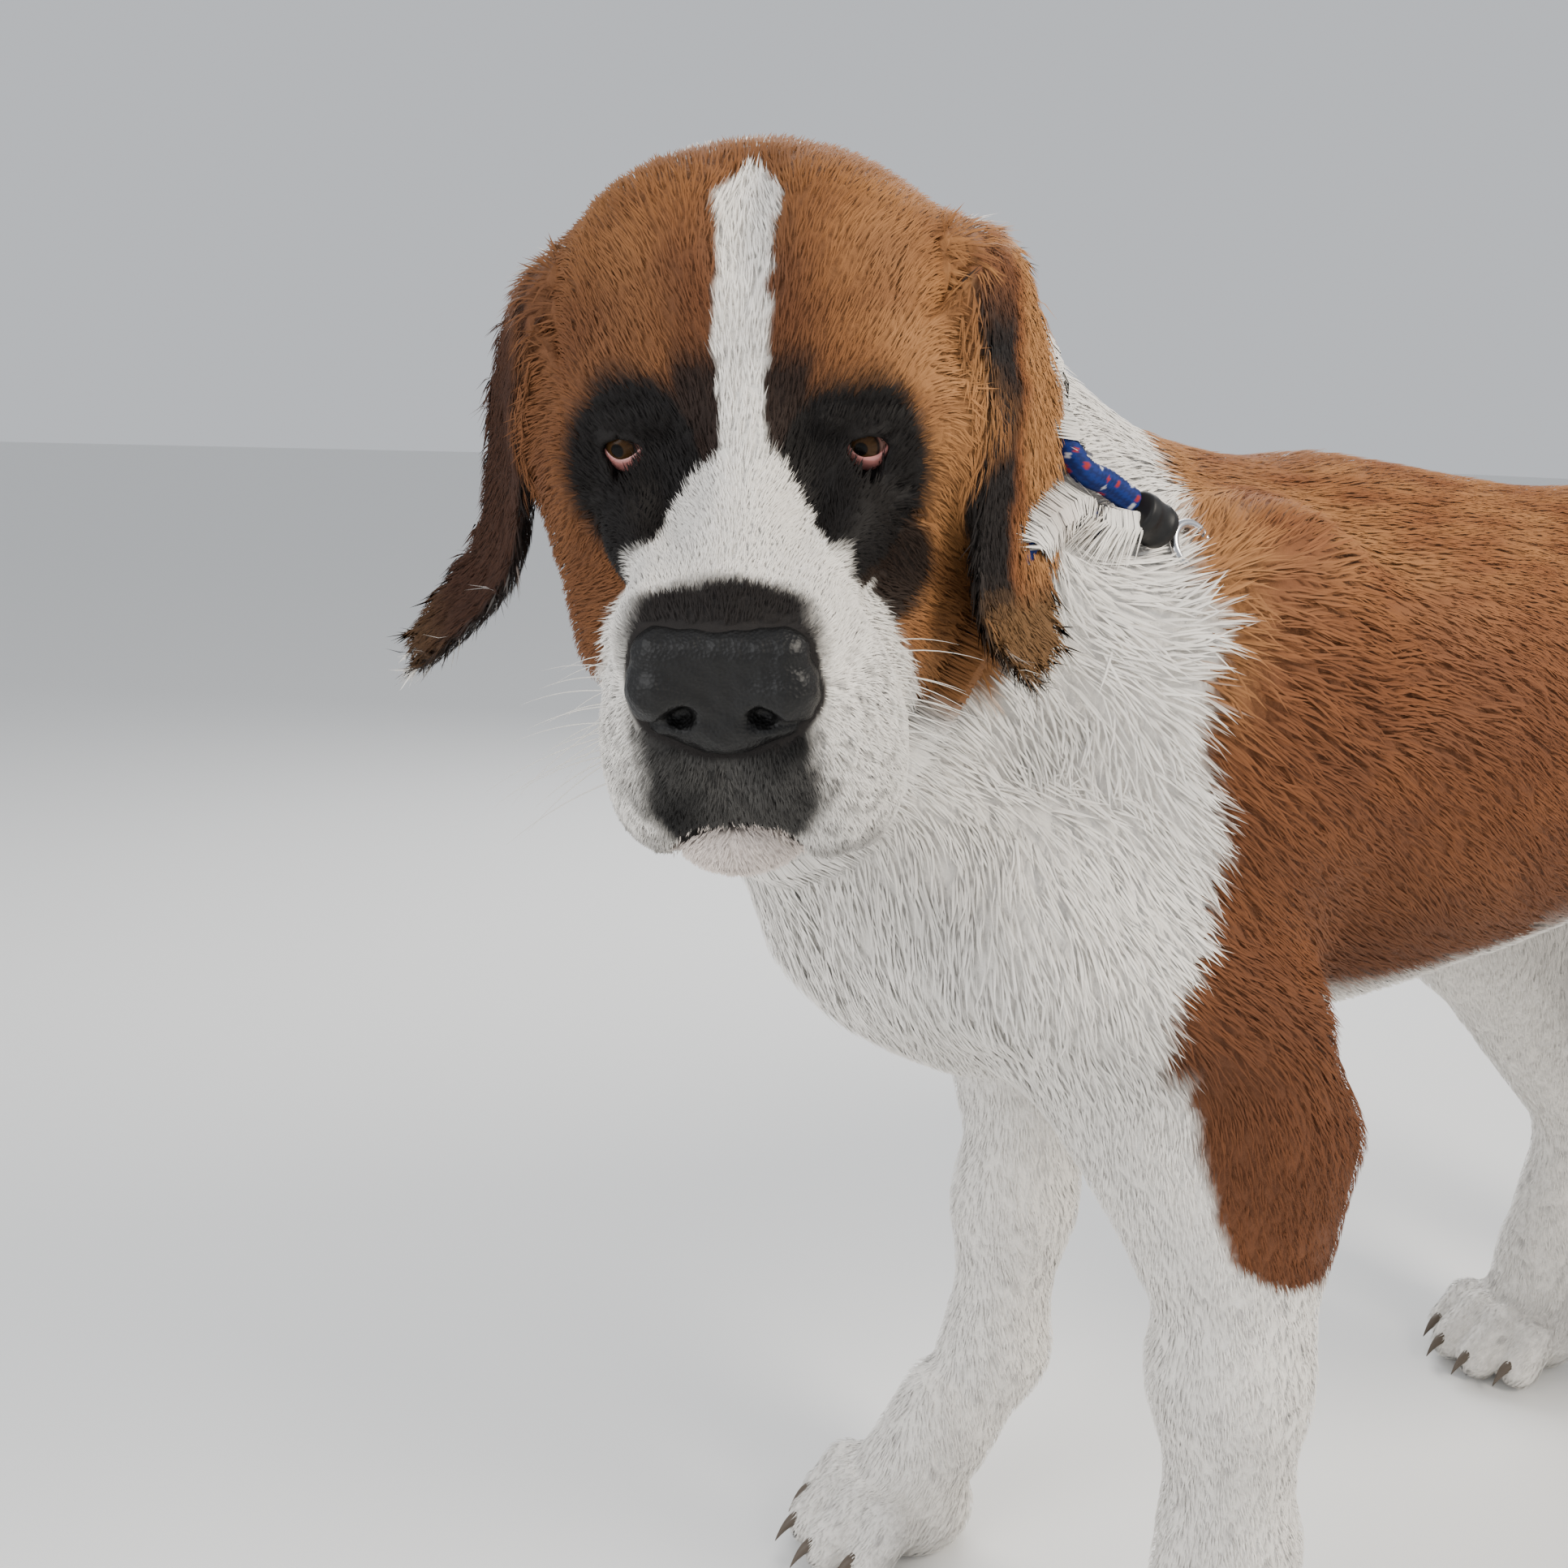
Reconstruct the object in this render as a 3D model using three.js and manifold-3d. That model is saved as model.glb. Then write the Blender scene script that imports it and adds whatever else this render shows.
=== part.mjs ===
// A standing Saint Bernard, life size, with its head turned to its left, wearing a rope collar.
// Millimetres, +Z up. The dog faces -Y and its left side is +X. The paws stand on Z = 0.
// Flesh is one smooth field of rounded masses. Each node is a grid of rays cast out to that field
// from a line inside the node, and is then parted from its neighbours by thin plane cuts.
import * as THREE from "three";
import { mergeVertices } from "three/addons/utils/BufferGeometryUtils.js";
import Module from "manifold-3d";

const wasm = await Module();
wasm.setup();

// Driving dimensions
const WITHERS_HEIGHT = 705;
const ELBOW_HEIGHT = 362;
const ELBOW_BACK = { 1: -12, [-1]: 12 }; // of the left and right elbow: the left one stands further forward
const FORE_TOP = 354; // the forelegs' nodes end here, under the breast
const CHEST_HALF_WIDTH = 138;
const BACK_DROP = 12; // the back lies this much below the withers
const GAP = 0.3; // between nodes that touch
const FIELD_STEP = 5;
const FAR = 520; // no ray is longer
const HEAD_EYES = new THREE.Vector3(114, -302, 701); // midway between the two corneas
const HEAD_TURN = 63; // degrees to the dog's left
const HEAD_DROP = 16; // degrees that the muzzle points down
const HEAD_ROLL = 2.3;
const EYE_RADIUS = 12.5;
const EYE_SPREAD = 51.5; // each eye from the middle of the face
const EYE_RISE = 5;
const ROPE_RADIUS = 6.2;

const SIDES = [
  ["left", 1],
  ["right", -1],
];
const V = (x, y, z) => new THREE.Vector3(x, y, z);
const radians = THREE.MathUtils.degToRad;

// The face's own axes: x to the dog's left, y out along the muzzle, z up through the crown.
function headMatrix() {
  const turn = radians(HEAD_TURN);
  const drop = radians(HEAD_DROP);
  const roll = radians(HEAD_ROLL);
  const out = V(Math.sin(turn) * Math.cos(drop), -Math.cos(turn) * Math.cos(drop), -Math.sin(drop));
  const level = V(Math.sin(turn) * Math.sin(drop), -Math.cos(turn) * Math.sin(drop), Math.cos(drop));
  const side = level.clone().cross(out);
  const left = side.clone().multiplyScalar(Math.cos(roll)).addScaledVector(level, Math.sin(roll));
  const up = level.clone().multiplyScalar(Math.cos(roll)).addScaledVector(side, -Math.sin(roll));
  return new THREE.Matrix4().makeBasis(left, out, up).setPosition(HEAD_EYES);
}
const HEAD = headMatrix();
const HEAD_BACK = HEAD.clone().invert();
const face = (x, y, z) => V(x, y, z).applyMatrix4(HEAD); // a point given on the face's axes

// Masses of the field. Each returns a rough signed distance, below 0 inside.
function mass(centre, size, pitch = 0) {
  const c = Math.cos(radians(pitch));
  const s = Math.sin(radians(pitch));
  return (p) => {
    const x = (p.x - centre[0]) / size[0];
    const dy = p.y - centre[1];
    const dz = p.z - centre[2];
    const y = (dy * c + dz * s) / size[1];
    const z = (dz * c - dy * s) / size[2];
    const k = Math.hypot(x, y, z);
    const slope = Math.hypot(x / size[0], y / size[1], z / size[2]);
    return slope > 0 ? (k * (k - 1)) / slope : -Math.min(...size);
  };
}
function limb(from, to, r0, r1) {
  const a = V(...from);
  const along = V(...to).sub(a);
  const length2 = along.lengthSq();
  const q = new THREE.Vector3();
  return (p) => {
    q.copy(p).sub(a);
    const t = Math.min(1, Math.max(0, q.dot(along) / length2));
    return q.addScaledVector(along, -t).length() - (r0 + (r1 - r0) * t);
  };
}
function block(centre, half, round) {
  return (p) => {
    const x = Math.abs(p.x - centre[0]) - half[0];
    const y = Math.abs(p.y - centre[1]) - half[1];
    const z = Math.abs(p.z - centre[2]) - half[2];
    const out = Math.hypot(Math.max(x, 0), Math.max(y, 0), Math.max(z, 0));
    return out + Math.min(Math.max(x, y, z), 0) - round;
  };
}
// Joins two distances with a fillet of about k
function blend(a, b, k) {
  const h = Math.max(k - Math.abs(a - b), 0) / k;
  return Math.min(a, b) - (h * h * k) / 4;
}
const join = (masses) => (p) => masses.reduce((d, [m, k]) => blend(d, m(p), k), 1e3);
// Takes the hollows away from a field, each with a fillet
const carve = (field, hollows) => (p) =>
  hollows.reduce((d, [m, k]) => -blend(-d, m(p), k), field(p));
const pairs = (make) => SIDES.flatMap(([, side]) => make(side));

// Trunk: rib cage, breast, shoulders, loin, belly and croup
const backZ = WITHERS_HEIGHT - BACK_DROP;
const trunkMasses = [
  [mass([0, 115, 546], [CHEST_HALF_WIDTH, 235, 150]), 1],
  [mass([0, -94, 512], [118, 128, 147], -12), 40],
  [mass([0, 10, 458], [88, 165, 70]), 40],
  [mass([0, 25, WITHERS_HEIGHT - 66], [62, 135, 66]), 40],
  [limb([0, 90, backZ - 38], [0, 470, backZ - 44], 38, 36), 40],
  [mass([0, 345, 588], [108, 180, 96]), 40],
  [mass([0, 270, 538], [112, 180, 110], 8), 40],
  [mass([0, 475, 600], [108, 112, 88]), 40],
  ...pairs((s) => [
    [mass([s * 92, -35, 560], [56, 82, 128], -18), 40],
    [limb([s * 92, -140, 478], [s * 112, ELBOW_BACK[s] - 12, ELBOW_HEIGHT + 55], 58, 50), 40],
  ]),
];
// Neck: from the shoulders to the back of the skull, with its crest and throat
const neckMasses = [
  [limb([0, -70, 585], [-6, -185, 668], 120, 108), 50],
  [limb([-6, -185, 668], [22, -246, 712], 106, 94), 40],
  [limb([0, -20, 636], [-20, -206, 732], 52, 56), 40],
  [limb([0, -166, 488], [38, -240, 598], 74, 66), 45],
];

// Legs. Each forepaw and hind paw is set where the dog's stance puts it.
const FORE = {
  left: { elbow: ELBOW_BACK[1], forearm: [128, -20, 232], wrist: [129, -10, 128], fetlock: [130, -26, 70], paw: [131, -52] },
  right: { elbow: ELBOW_BACK[-1], forearm: [-84, -26, 232], wrist: [-82, -34, 132], fetlock: [-86, -66, 68], paw: [-89, -96] },
};
const HIND = {
  left: { stifle: 396, hock: [106, 568, 196], fetlock: [108, 545, 88], paw: [110, 534] },
  right: { stifle: 366, hock: [-106, 508, 196], fetlock: [-107, 485, 88], paw: [-108, 474] },
};
const FORE_GIRTH = { 1: 0.94, [-1]: 0.86 }; // of the left and right foreleg below the elbow
const PASTERN_TOP = 84; // the paw's node ends here
function forelegMasses(side, { elbow, forearm, wrist, fetlock }) {
  const girth = FORE_GIRTH[side];
  return [
    [limb([side * 116, elbow, ELBOW_HEIGHT], forearm, 52, 41 * girth), 26],
    [limb([side * 122, elbow + 24, ELBOW_HEIGHT], [side * 118, elbow + 24, 312], 30, 24), 26],
    [limb([side * 72, elbow - 93, 450], [side * 112, elbow - 28, 312], 48, 36), 26],
    [limb(forearm, wrist, 41 * girth, 36 * girth), 26],
    [limb(wrist, fetlock, 37 * girth, 35 * girth), 22],
  ];
}
const STIFLE_HEIGHT = 385;
function hindlegMasses(side, { stifle, hock, fetlock }) {
  const [x, y, z] = hock;
  const knee = [side * 108, stifle, STIFLE_HEIGHT];
  return [
    [mass([side * 80, 440 + stifle * 0.06, 520], [62, 100, 145], -12), 40],
    [mass([side * 56, 526, 570], [54, 52, 72]), 36],
    [limb([side * 96, stifle + 36, 470], knee, 74, 56), 36],
    [limb(knee, hock, 56, 28), 30],
    [limb([x, y - 60, z + 112], [x, y + 8, z + 10], 34, 20), 24],
    [limb(hock, fetlock, 31, 32), 20],
  ];
}

// Paws: a pad and four arched toes, from the paw's middle (x, y)
const TOES = [
  { x: -33, reach: 52, r: 18.5 },
  { x: -12, reach: 70, r: 20 },
  { x: 12, reach: 71, r: 20 },
  { x: 33, reach: 54, r: 18.5 },
];
const toeKnuckle = (x, y, toe) => [x + toe.x * 0.95, y - toe.reach * 0.45, 35];
const toeTip = (x, y, toe) => [x + toe.x * 1.12, y - toe.reach + 14, 17];
function padMasses({ fetlock, paw: [x, y] }) {
  return [
    [limb([fetlock[0], fetlock[1], 92], [x, y + 4, 46], 32, 33), 20],
    [mass([x, y + 8, 25], [40, 42, 33]), 18],
  ];
}

// Tail, hanging with its last third a little out
const TAIL = [V(0, 530, 620), V(0, 602, 592), V(2, 652, 500), V(6, 676, 380), V(12, 694, 270), V(22, 730, 186)];
const TAIL_RADII = [34, 30, 29, 29, 24, 10]; // of the core: the locks stand about half as far out again
const tailMasses = TAIL.slice(1).map((p, i) => [
  limb(TAIL[i].toArray(), p.toArray(), TAIL_RADII[i], TAIL_RADII[i + 1]),
  24,
]);

// Head, on the face's axes
const headMasses = [
  [mass([0, -90, 38], [94, 88, 76]), 1],
  [mass([0, -14, 6], [32, 32, 24]), 22],
  ...pairs((s) => [
    [mass([s * 32, -58, 46], [44, 42, 56]), 26],
    [mass([s * 46, -28, 18], [32, 23, 22]), 30],
    [mass([s * 51, -24, -4], [31, 22, 24]), 20],
    [mass([s * 62, -66, -28], [40, 64, 54]), 22],
    [mass([s * 46, -46, -82], [42, 64, 46]), 24],
    [mass([s * 30, 6, -26], [30, 34, 26]), 16],
  ]),
  [block([0, 38, -56], [26, 54, 18], 17), 20],
  [block([0, 42, -44], [12, 46, 2], 14), 14],
  [limb([0, -4, -10], [0, 92, -43], 23, 18), 16],
  ...pairs((s) => [
    [mass([s * 30 + 4, 58, -94], [31, 50, 54], -6), 12],
    [mass([s * 17 + 1, 86, -90], [24, 27, 30]), 10],
    [mass([s * 42 + 4, 30, -117], [22, 47, 41]), 12],
  ]),
  [mass([0, 84, -98], [24, 26, 21]), 12],
];
const headHollows = [
  [limb([0, 6, 62], [0, -70, 128], 7, 5), 16], // the furrow up the forehead
  ...pairs((s) => [
    [mass([s * 30, 30, -2], [9, 16, 16]), 14], // before each eye
    [limb([s * 3, 122, -84], [s * 2, 118, -122], 2.5, 3), 5], // below the nose
  ]),
];
const headLocal = carve(join(headMasses), headHollows);
const headField = (p) => headLocal(p.clone().applyMatrix4(HEAD_BACK));
const jawField = join([
  [limb([0, -30, -112], [0, 60, -124], 34, 27), 1],
  [mass([0, 66, -126], [33, 38, 25]), 12],
]);
const noseField = carve(
  join([
    [block([0, 101, -47], [23, 5, 7], 10), 1],
    ...pairs((s) => [[mass([s * 20, 101, -57], [15, 17, 17]), 8]]),
    [mass([0, 102, -69], [19, 15, 12]), 8],
  ]),
  [[limb([0, 127, -56], [0, 124, -86], 3, 3), 5]],
);

const COLLAR_CENTRE = V(0, -160, 650);
const COLLAR_AXIS = V(0.2, -0.88, 0.43).normalize();
const COLLAR_LIFT = 38; // the loop's place up the neck from the centre
const fleshField = join([...trunkMasses, ...neckMasses]);
const tailField = join(tailMasses);
const LIMB_FILLET = 34;
const HEAD_FILLET = 30;
// A limb's own surface is only its own flesh and fillet: the trunk counts as a little smaller there
const SHY = 3;
const onTrunk = (own, fillet) => (p) => blend(fleshField(p) + SHY, own(p), fillet);
const headNeck = onTrunk(headField, HEAD_FILLET);
const hindField = (name, s) => onTrunk(join(hindlegMasses(s, HIND[name])), LIMB_FILLET);
const skin = (p) => Math.min(fleshField(p), headNeck(p));

// The planes that part the nodes: a point on each and the way out of the node
const plane = (point, normal) => ({ point, normal: normal.clone().normalize() });
const outer = (side) => plane(V(0, 0, 0), V(-side, 0, 0)); // keeps one side of the dog
const ahead = plane(V(0, 200, 0), V(0, 1, 0));
const behind = plane(V(0, 200, 0), V(0, -1, 0));
const below = (z) => plane(V(0, 0, z), V(0, 0, 1));
const TAIL_CUT = plane(V(0, 592, 600), V(0, -1, 0));
const TAIL_SIDES = [plane(V(62, 0, 0), V(1, 0, 0)), plane(V(-62, 0, 0), V(-1, 0, 0))];
const kneeCut = (stifle) => plane(V(0, stifle + 32, 345), V(0, -0.62, 0.78));
const HIP_CUT = plane(V(0, 340, 452), V(0, -0.55, 0.835));
const HEAD_CUT = plane(V(10, -234, 709), V(-0.52, 0.72, -0.22));
const NECK_CUT = plane(V(0, -108, 600), V(0, 0.8, -0.6));

// Solids, cuts and joins. A mesh that comes out inside out is turned over.
function solidOf(geometry) {
  geometry.deleteAttribute("normal");
  geometry.deleteAttribute("uv");
  const merged = mergeVertices(geometry, 1e-3);
  const make = (triVerts) =>
    new wasm.Manifold(
      new wasm.Mesh({ numProp: 3, vertProperties: merged.attributes.position.array, triVerts }),
    );
  const triangles = new Uint32Array(merged.index.array);
  const solid = make(triangles);
  return solid.volume() > 0 ? solid : make(triangles.reverse());
}
const HUGE = 6000;
// Everything on the far side of a plane, from a little beyond it
function beyond({ point, normal }, shift) {
  const turn = new THREE.Quaternion().setFromUnitVectors(V(0, 0, 1), normal);
  const centre = point.clone().addScaledVector(normal, HUGE / 2 + shift);
  return solidOf(new THREE.BoxGeometry(HUGE, HUGE, HUGE).applyQuaternion(turn).translate(...centre));
}
// Takes off what lies outside the planes, each moved out by shift
const trim = (solid, planes, shift) =>
  planes.reduce((s, cut) => s.subtract(beyond(cut, shift)), solid);
const everything = solidOf(new THREE.BoxGeometry(HUGE / 2, HUGE / 2, HUGE / 2));
function largest(solid) {
  const bodies = solid.decompose();
  return bodies.reduce((a, b) => (b.volume() > a.volume() ? b : a));
}
function add(group, name, solid, material) {
  const { vertProperties, triVerts, numProp, numVert } = largest(solid).getMesh();
  const position = new Float32Array(numVert * 3);
  for (let i = 0; i < numVert; i++) position.set(vertProperties.subarray(i * numProp, i * numProp + 3), i * 3);
  const geometry = new THREE.BufferGeometry();
  geometry.setAttribute("position", new THREE.BufferAttribute(position, 3));
  geometry.setIndex(new THREE.BufferAttribute(triVerts, 1));
  geometry.computeVertexNormals();
  const mesh = new THREE.Mesh(geometry, material);
  mesh.name = name;
  group.add(mesh);
  return solid;
}

// A closed sheet of rows and columns, made by moving the points of a sphere: place(row, column) in 0 to 1
function loft(columns, rows, place) {
  const geometry = new THREE.SphereGeometry(1, columns, rows);
  const position = geometry.attributes.position;
  for (let row = 0; row <= rows; row++)
    for (let column = 0; column <= columns; column++) {
      const pole = row === 0 || row === rows;
      const p = place(row / rows, pole ? 0 : (column % columns) / columns);
      position.setXYZ(row * (columns + 1) + column, p.x, p.y, p.z);
    }
  return solidOf(geometry);
}
function cast(field, origin, direction, reach = FAR) {
  const p = origin.clone();
  let near = 0;
  let far = FIELD_STEP;
  while (far < reach && field(p.copy(origin).addScaledVector(direction, far)) < 0) {
    near = far;
    far += FIELD_STEP;
  }
  for (let i = 0; i < 12; i++) {
    const middle = (near + far) / 2;
    if (field(p.copy(origin).addScaledVector(direction, middle)) < 0) near = middle;
    else far = middle;
  }
  return p.copy(origin).addScaledVector(direction, near);
}
// Rays from a line inside the flesh out to its surface, or as far as they may reach.
// A share of the rows, fan and endFan, turns round each end of the line.
function wrap(points, field, { columns, rows, fan = 0.2, endFan = fan, grow = 0, reach = FAR, up = V(0, 0, 1) }) {
  const spine = points.length > 2 ? new THREE.CatmullRomCurve3(points) : new THREE.LineCurve3(...points);
  const grown = (p) => field(p) - grow;
  return loft(columns, rows, (row, column) => {
    const t = THREE.MathUtils.clamp((row - fan) / (1 - fan - endFan), 0, 1);
    const lean = row < fan ? row / fan - 1 : row > 1 - endFan ? (row - 1 + endFan) / endFan : 0;
    const along = spine.getTangentAt(t);
    const side = up.clone().cross(along).normalize();
    const over = along.clone().cross(side);
    const angle = column * 2 * Math.PI;
    const out = over.multiplyScalar(Math.cos(angle)).addScaledVector(side, Math.sin(angle));
    const tilt = (lean * Math.PI) / 2;
    const direction = out.multiplyScalar(Math.cos(tilt)).addScaledVector(along, Math.sin(tilt));
    return cast(grown, spine.getPointAt(t), direction, reach);
  });
}

// Materials, with the photograph's colours
const finish = (color, roughness, metalness = 0) =>
  new THREE.MeshStandardMaterial({ color, roughness, metalness });
const rust = finish(0x8a4a22, 0.8);
const white = finish(0xe9e2d6, 0.8);
const leather = finish(0x12100f, 0.35);
const cornea = finish(0x2c1608, 0.08);
const blueRope = finish(0x1f3f9a, 0.7);
const blackKeeper = finish(0x0d0d0e, 0.5);
const steel = finish(0xc8c8cc, 0.25, 1);

const dog = new THREE.Group();

// The head, with the mouth's line round the lower jaw, the lids' openings and the nose's seat
const headSpine = [face(0, -120, 0), face(0, -40, -22), face(0, 58, -72)];
const noseWrap = (grow) =>
  wrap([V(0, 98, -57), V(0, 103, -56)], noseField, { columns: 14, rows: 10, fan: 0.4, grow });
const jawWrap = (grow) =>
  wrap([V(0, -20, -112), V(0, 66, -124)], jawField, { columns: 12, rows: 10, fan: 0.26, grow });
const toFace = (solid) => solid.transform(HEAD.toArray());
const ball = (radius, centre, columns = 10, rows = 8) =>
  solidOf(new THREE.SphereGeometry(radius, columns, rows).translate(...centre));

// An eye looks out a little to its own side
const EYE_TURN = 12;
const eyeCentre = (s) => V(s * (EYE_SPREAD - EYE_RADIUS * Math.sin(radians(EYE_TURN))), -EYE_RADIUS, EYE_RISE);
// The opening between the lids, drooping below
function opening(s) {
  const width = 9;
  const shape = new THREE.Shape();
  shape.moveTo(-width, 0);
  shape.quadraticCurveTo(0, 12, width, 0);
  shape.quadraticCurveTo(0, -21, -width, 0);
  const cutter = new THREE.ExtrudeGeometry(shape, { depth: 40, bevelEnabled: false, curveSegments: 6 });
  cutter.rotateX(-Math.PI / 2).scale(1, 1, -1).rotateZ(radians(-s * EYE_TURN));
  return solidOf(cutter.translate(...eyeCentre(s)));
}
const LIP_GAP = 1.6;
function faceDetails(flesh) {
  const slot = trim(jawWrap(LIP_GAP), [plane(V(0, -12, 0), V(0, -1, 0))], 0);
  let solid = flesh.subtract(toFace(slot)).add(toFace(jawWrap(0)));
  for (const [, s] of SIDES) {
    const lids = ball(1, V(0, 0, 0), 12, 8).scale([15, 14.6, 15]);
    solid = solid.add(toFace(lids.translate(eyeCentre(s).toArray()))).subtract(toFace(opening(s)));
    solid = solid.subtract(toFace(ball(EYE_RADIUS + GAP, eyeCentre(s))));
  }
  return solid.subtract(toFace(noseWrap(GAP)));
}
function eyes() {
  for (const [name, s] of SIDES) add(dog, `eye_${name}`, toFace(ball(EYE_RADIUS, eyeCentre(s))), cornea);
}
function nose() {
  let solid = noseWrap(0);
  for (const [, s] of SIDES) {
    const nostril = ball(1, V(0, 0, 0), 8, 6).scale([7.5, 13, 6.5]);
    solid = solid.subtract(nostril.translate([s * 16, 120, -62]));
  }
  add(dog, "nose", toFace(solid), leather);
}

// An ear: a flap that leaves the skull, folds over and hangs. Points are on the face's axes.
const EARS = {
  left: [[76, -82, 66], [101, -82, 63], [107, -69, 24], [107, -47, -28], [110, -28, -74], [129, -18, -107]],
  right: [[-76, -84, 57], [-99, -86, 50], [-110, -82, 18], [-114, -76, -26], [-129, -68, -73], [-176, -56, -117]],
};
const EAR_WIDTHS = [28, 36, 38, 38, 36, 33]; // half of its breadth, from the root down
const EAR_THICK = 7;
const EAR_TURN = [0.35, 0.6]; // how far its front edge turns in to the cheek, at its root and tip
function ear(name, s, grow = 0) {
  const curve = new THREE.CatmullRomCurve3(EARS[name].map((p) => V(...p)));
  const reach = (t) => {
    const place = t * (EAR_WIDTHS.length - 1);
    const i = Math.min(Math.floor(place), EAR_WIDTHS.length - 2);
    return THREE.MathUtils.lerp(EAR_WIDTHS[i], EAR_WIDTHS[i + 1], place - i);
  };
  const leaf = loft(12, 12, (row, column) => {
    const t = (1 - Math.cos(row * Math.PI)) / 2; // closer rows round off both ends
    const round = Math.sqrt(Math.max(0, 1 - (2 * t - 1) ** 6));
    const angle = column * 2 * Math.PI;
    const along = curve.getTangentAt(t);
    const forward = V(-s * THREE.MathUtils.lerp(...EAR_TURN, t), 0.9, 0.1);
    forward.addScaledVector(along, -forward.dot(along)).normalize();
    const out = along.clone().cross(forward).multiplyScalar(-s);
    const across = Math.cos(angle) * (reach(t) + grow) * round;
    const cup = (across / 46) ** 2 * 12 * Math.min(1, t * 3); // the edges turn in towards the cheek
    const p = curve.getPointAt(t).addScaledVector(forward, across);
    return p.addScaledVector(out, Math.sin(angle) * (EAR_THICK + grow) * round - cup);
  });
  return toFace(leaf);
}

// Collar: a rope loop round the neck, drawn back to its keeper on the left side of the neck
const COLLAR_UP = V(0, 0, 1).addScaledVector(COLLAR_AXIS, -COLLAR_AXIS.z).normalize();
const COLLAR_SIDE = COLLAR_UP.clone().cross(COLLAR_AXIS);
const KEEPER_ANGLE = 71; // degrees round the neck from its crest to the left
const KEEPER_PULL = 62; // how far back the keeper draws the rope
const ROPE_SINK = 4; // how deep it lies in the coat, where the keeper doesn't draw it out
const THROAT_SINK = 4.5; // how much deeper at the throat
const STRAND_APART = 4.5; // degrees from the middle to each strand that runs to the keeper
function ropeCentre(degrees, pull, sink) {
  const origin = COLLAR_CENTRE.clone().addScaledVector(COLLAR_AXIS, COLLAR_LIFT - pull);
  const out = COLLAR_UP.clone().multiplyScalar(Math.cos(radians(degrees)));
  out.addScaledVector(COLLAR_SIDE, Math.sin(radians(degrees)));
  return cast(skin, origin, out).addScaledVector(out, ROPE_RADIUS - sink);
}
// Round the neck, then back to the keeper and forward again beside itself
function ropeCurve() {
  const points = [];
  for (let turn = 15; turn <= 345; turn += 10) {
    const throat = THREE.MathUtils.smoothstep(turn, 15, 55) * (1 - THREE.MathUtils.smoothstep(turn, 195, 235));
    points.push(ropeCentre(KEEPER_ANGLE + turn, 4, ROPE_SINK + THROAT_SINK * throat));
  }
  for (const share of [0.3, 0.6]) points.push(ropeCentre(KEEPER_ANGLE - STRAND_APART, share * KEEPER_PULL, 0));
  points.push(ropeCentre(KEEPER_ANGLE, KEEPER_PULL, -1));
  for (const share of [0.6, 0.3]) points.push(ropeCentre(KEEPER_ANGLE + STRAND_APART, share * KEEPER_PULL, ROPE_SINK));
  return new THREE.CatmullRomCurve3(points, true);
}
const ropeLine = ropeCurve();
function rope(grow) {
  const columns = 48;
  const sides = 5;
  const geometry = new THREE.TorusGeometry(100, ROPE_RADIUS, sides, columns);
  const position = geometry.attributes.position;
  for (let i = 0; i <= columns; i++) {
    const t = (i % columns) / columns;
    const centre = ropeLine.getPointAt(t);
    const along = ropeLine.getTangentAt(t);
    const out = centre.clone().sub(COLLAR_CENTRE);
    out.addScaledVector(along, -out.dot(along)).normalize();
    const across = along.clone().cross(out);
    for (let j = 0; j <= sides; j++) {
      const round = ((j % sides) / sides) * 2 * Math.PI;
      const p = centre.clone().addScaledVector(out, Math.cos(round) * (ROPE_RADIUS + grow));
      p.addScaledVector(across, Math.sin(round) * (ROPE_RADIUS + grow));
      position.setXYZ(j * (columns + 1) + i, p.x, p.y, p.z);
    }
  }
  return solidOf(geometry);
}
// The keeper grips the rope at its rearmost point, and the ring hangs behind it
const KEEPER = { radius: 10.5, length: 22 };
const RING = { radius: 11, wire: 2.4 };
function keeperPlace() {
  const tip = ropeCentre(KEEPER_ANGLE, KEEPER_PULL, -1);
  const back = COLLAR_AXIS.clone().negate();
  const out = tip.clone().sub(COLLAR_CENTRE).addScaledVector(back, -tip.clone().sub(COLLAR_CENTRE).dot(back)).normalize();
  return { tip, back, out, turn: new THREE.Matrix4().makeBasis(back.clone().cross(out), out, back) };
}
function keeper(grow) {
  const { tip, back, turn } = keeperPlace();
  const tube = new THREE.CapsuleGeometry(KEEPER.radius + grow, KEEPER.length - 12, 2, 10).rotateX(Math.PI / 2);
  return solidOf(tube.applyMatrix4(turn).translate(...tip.clone().addScaledVector(back, -2)));
}
function ring(grow) {
  const { tip, back, out, turn } = keeperPlace();
  const loop = new THREE.TorusGeometry(RING.radius, RING.wire + grow, 4, 13).rotateX(radians(78));
  const centre = tip.clone().addScaledVector(back, KEEPER.length / 2 + 17).addScaledVector(out, 3);
  return solidOf(loop.applyMatrix4(turn).translate(...centre));
}

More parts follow.
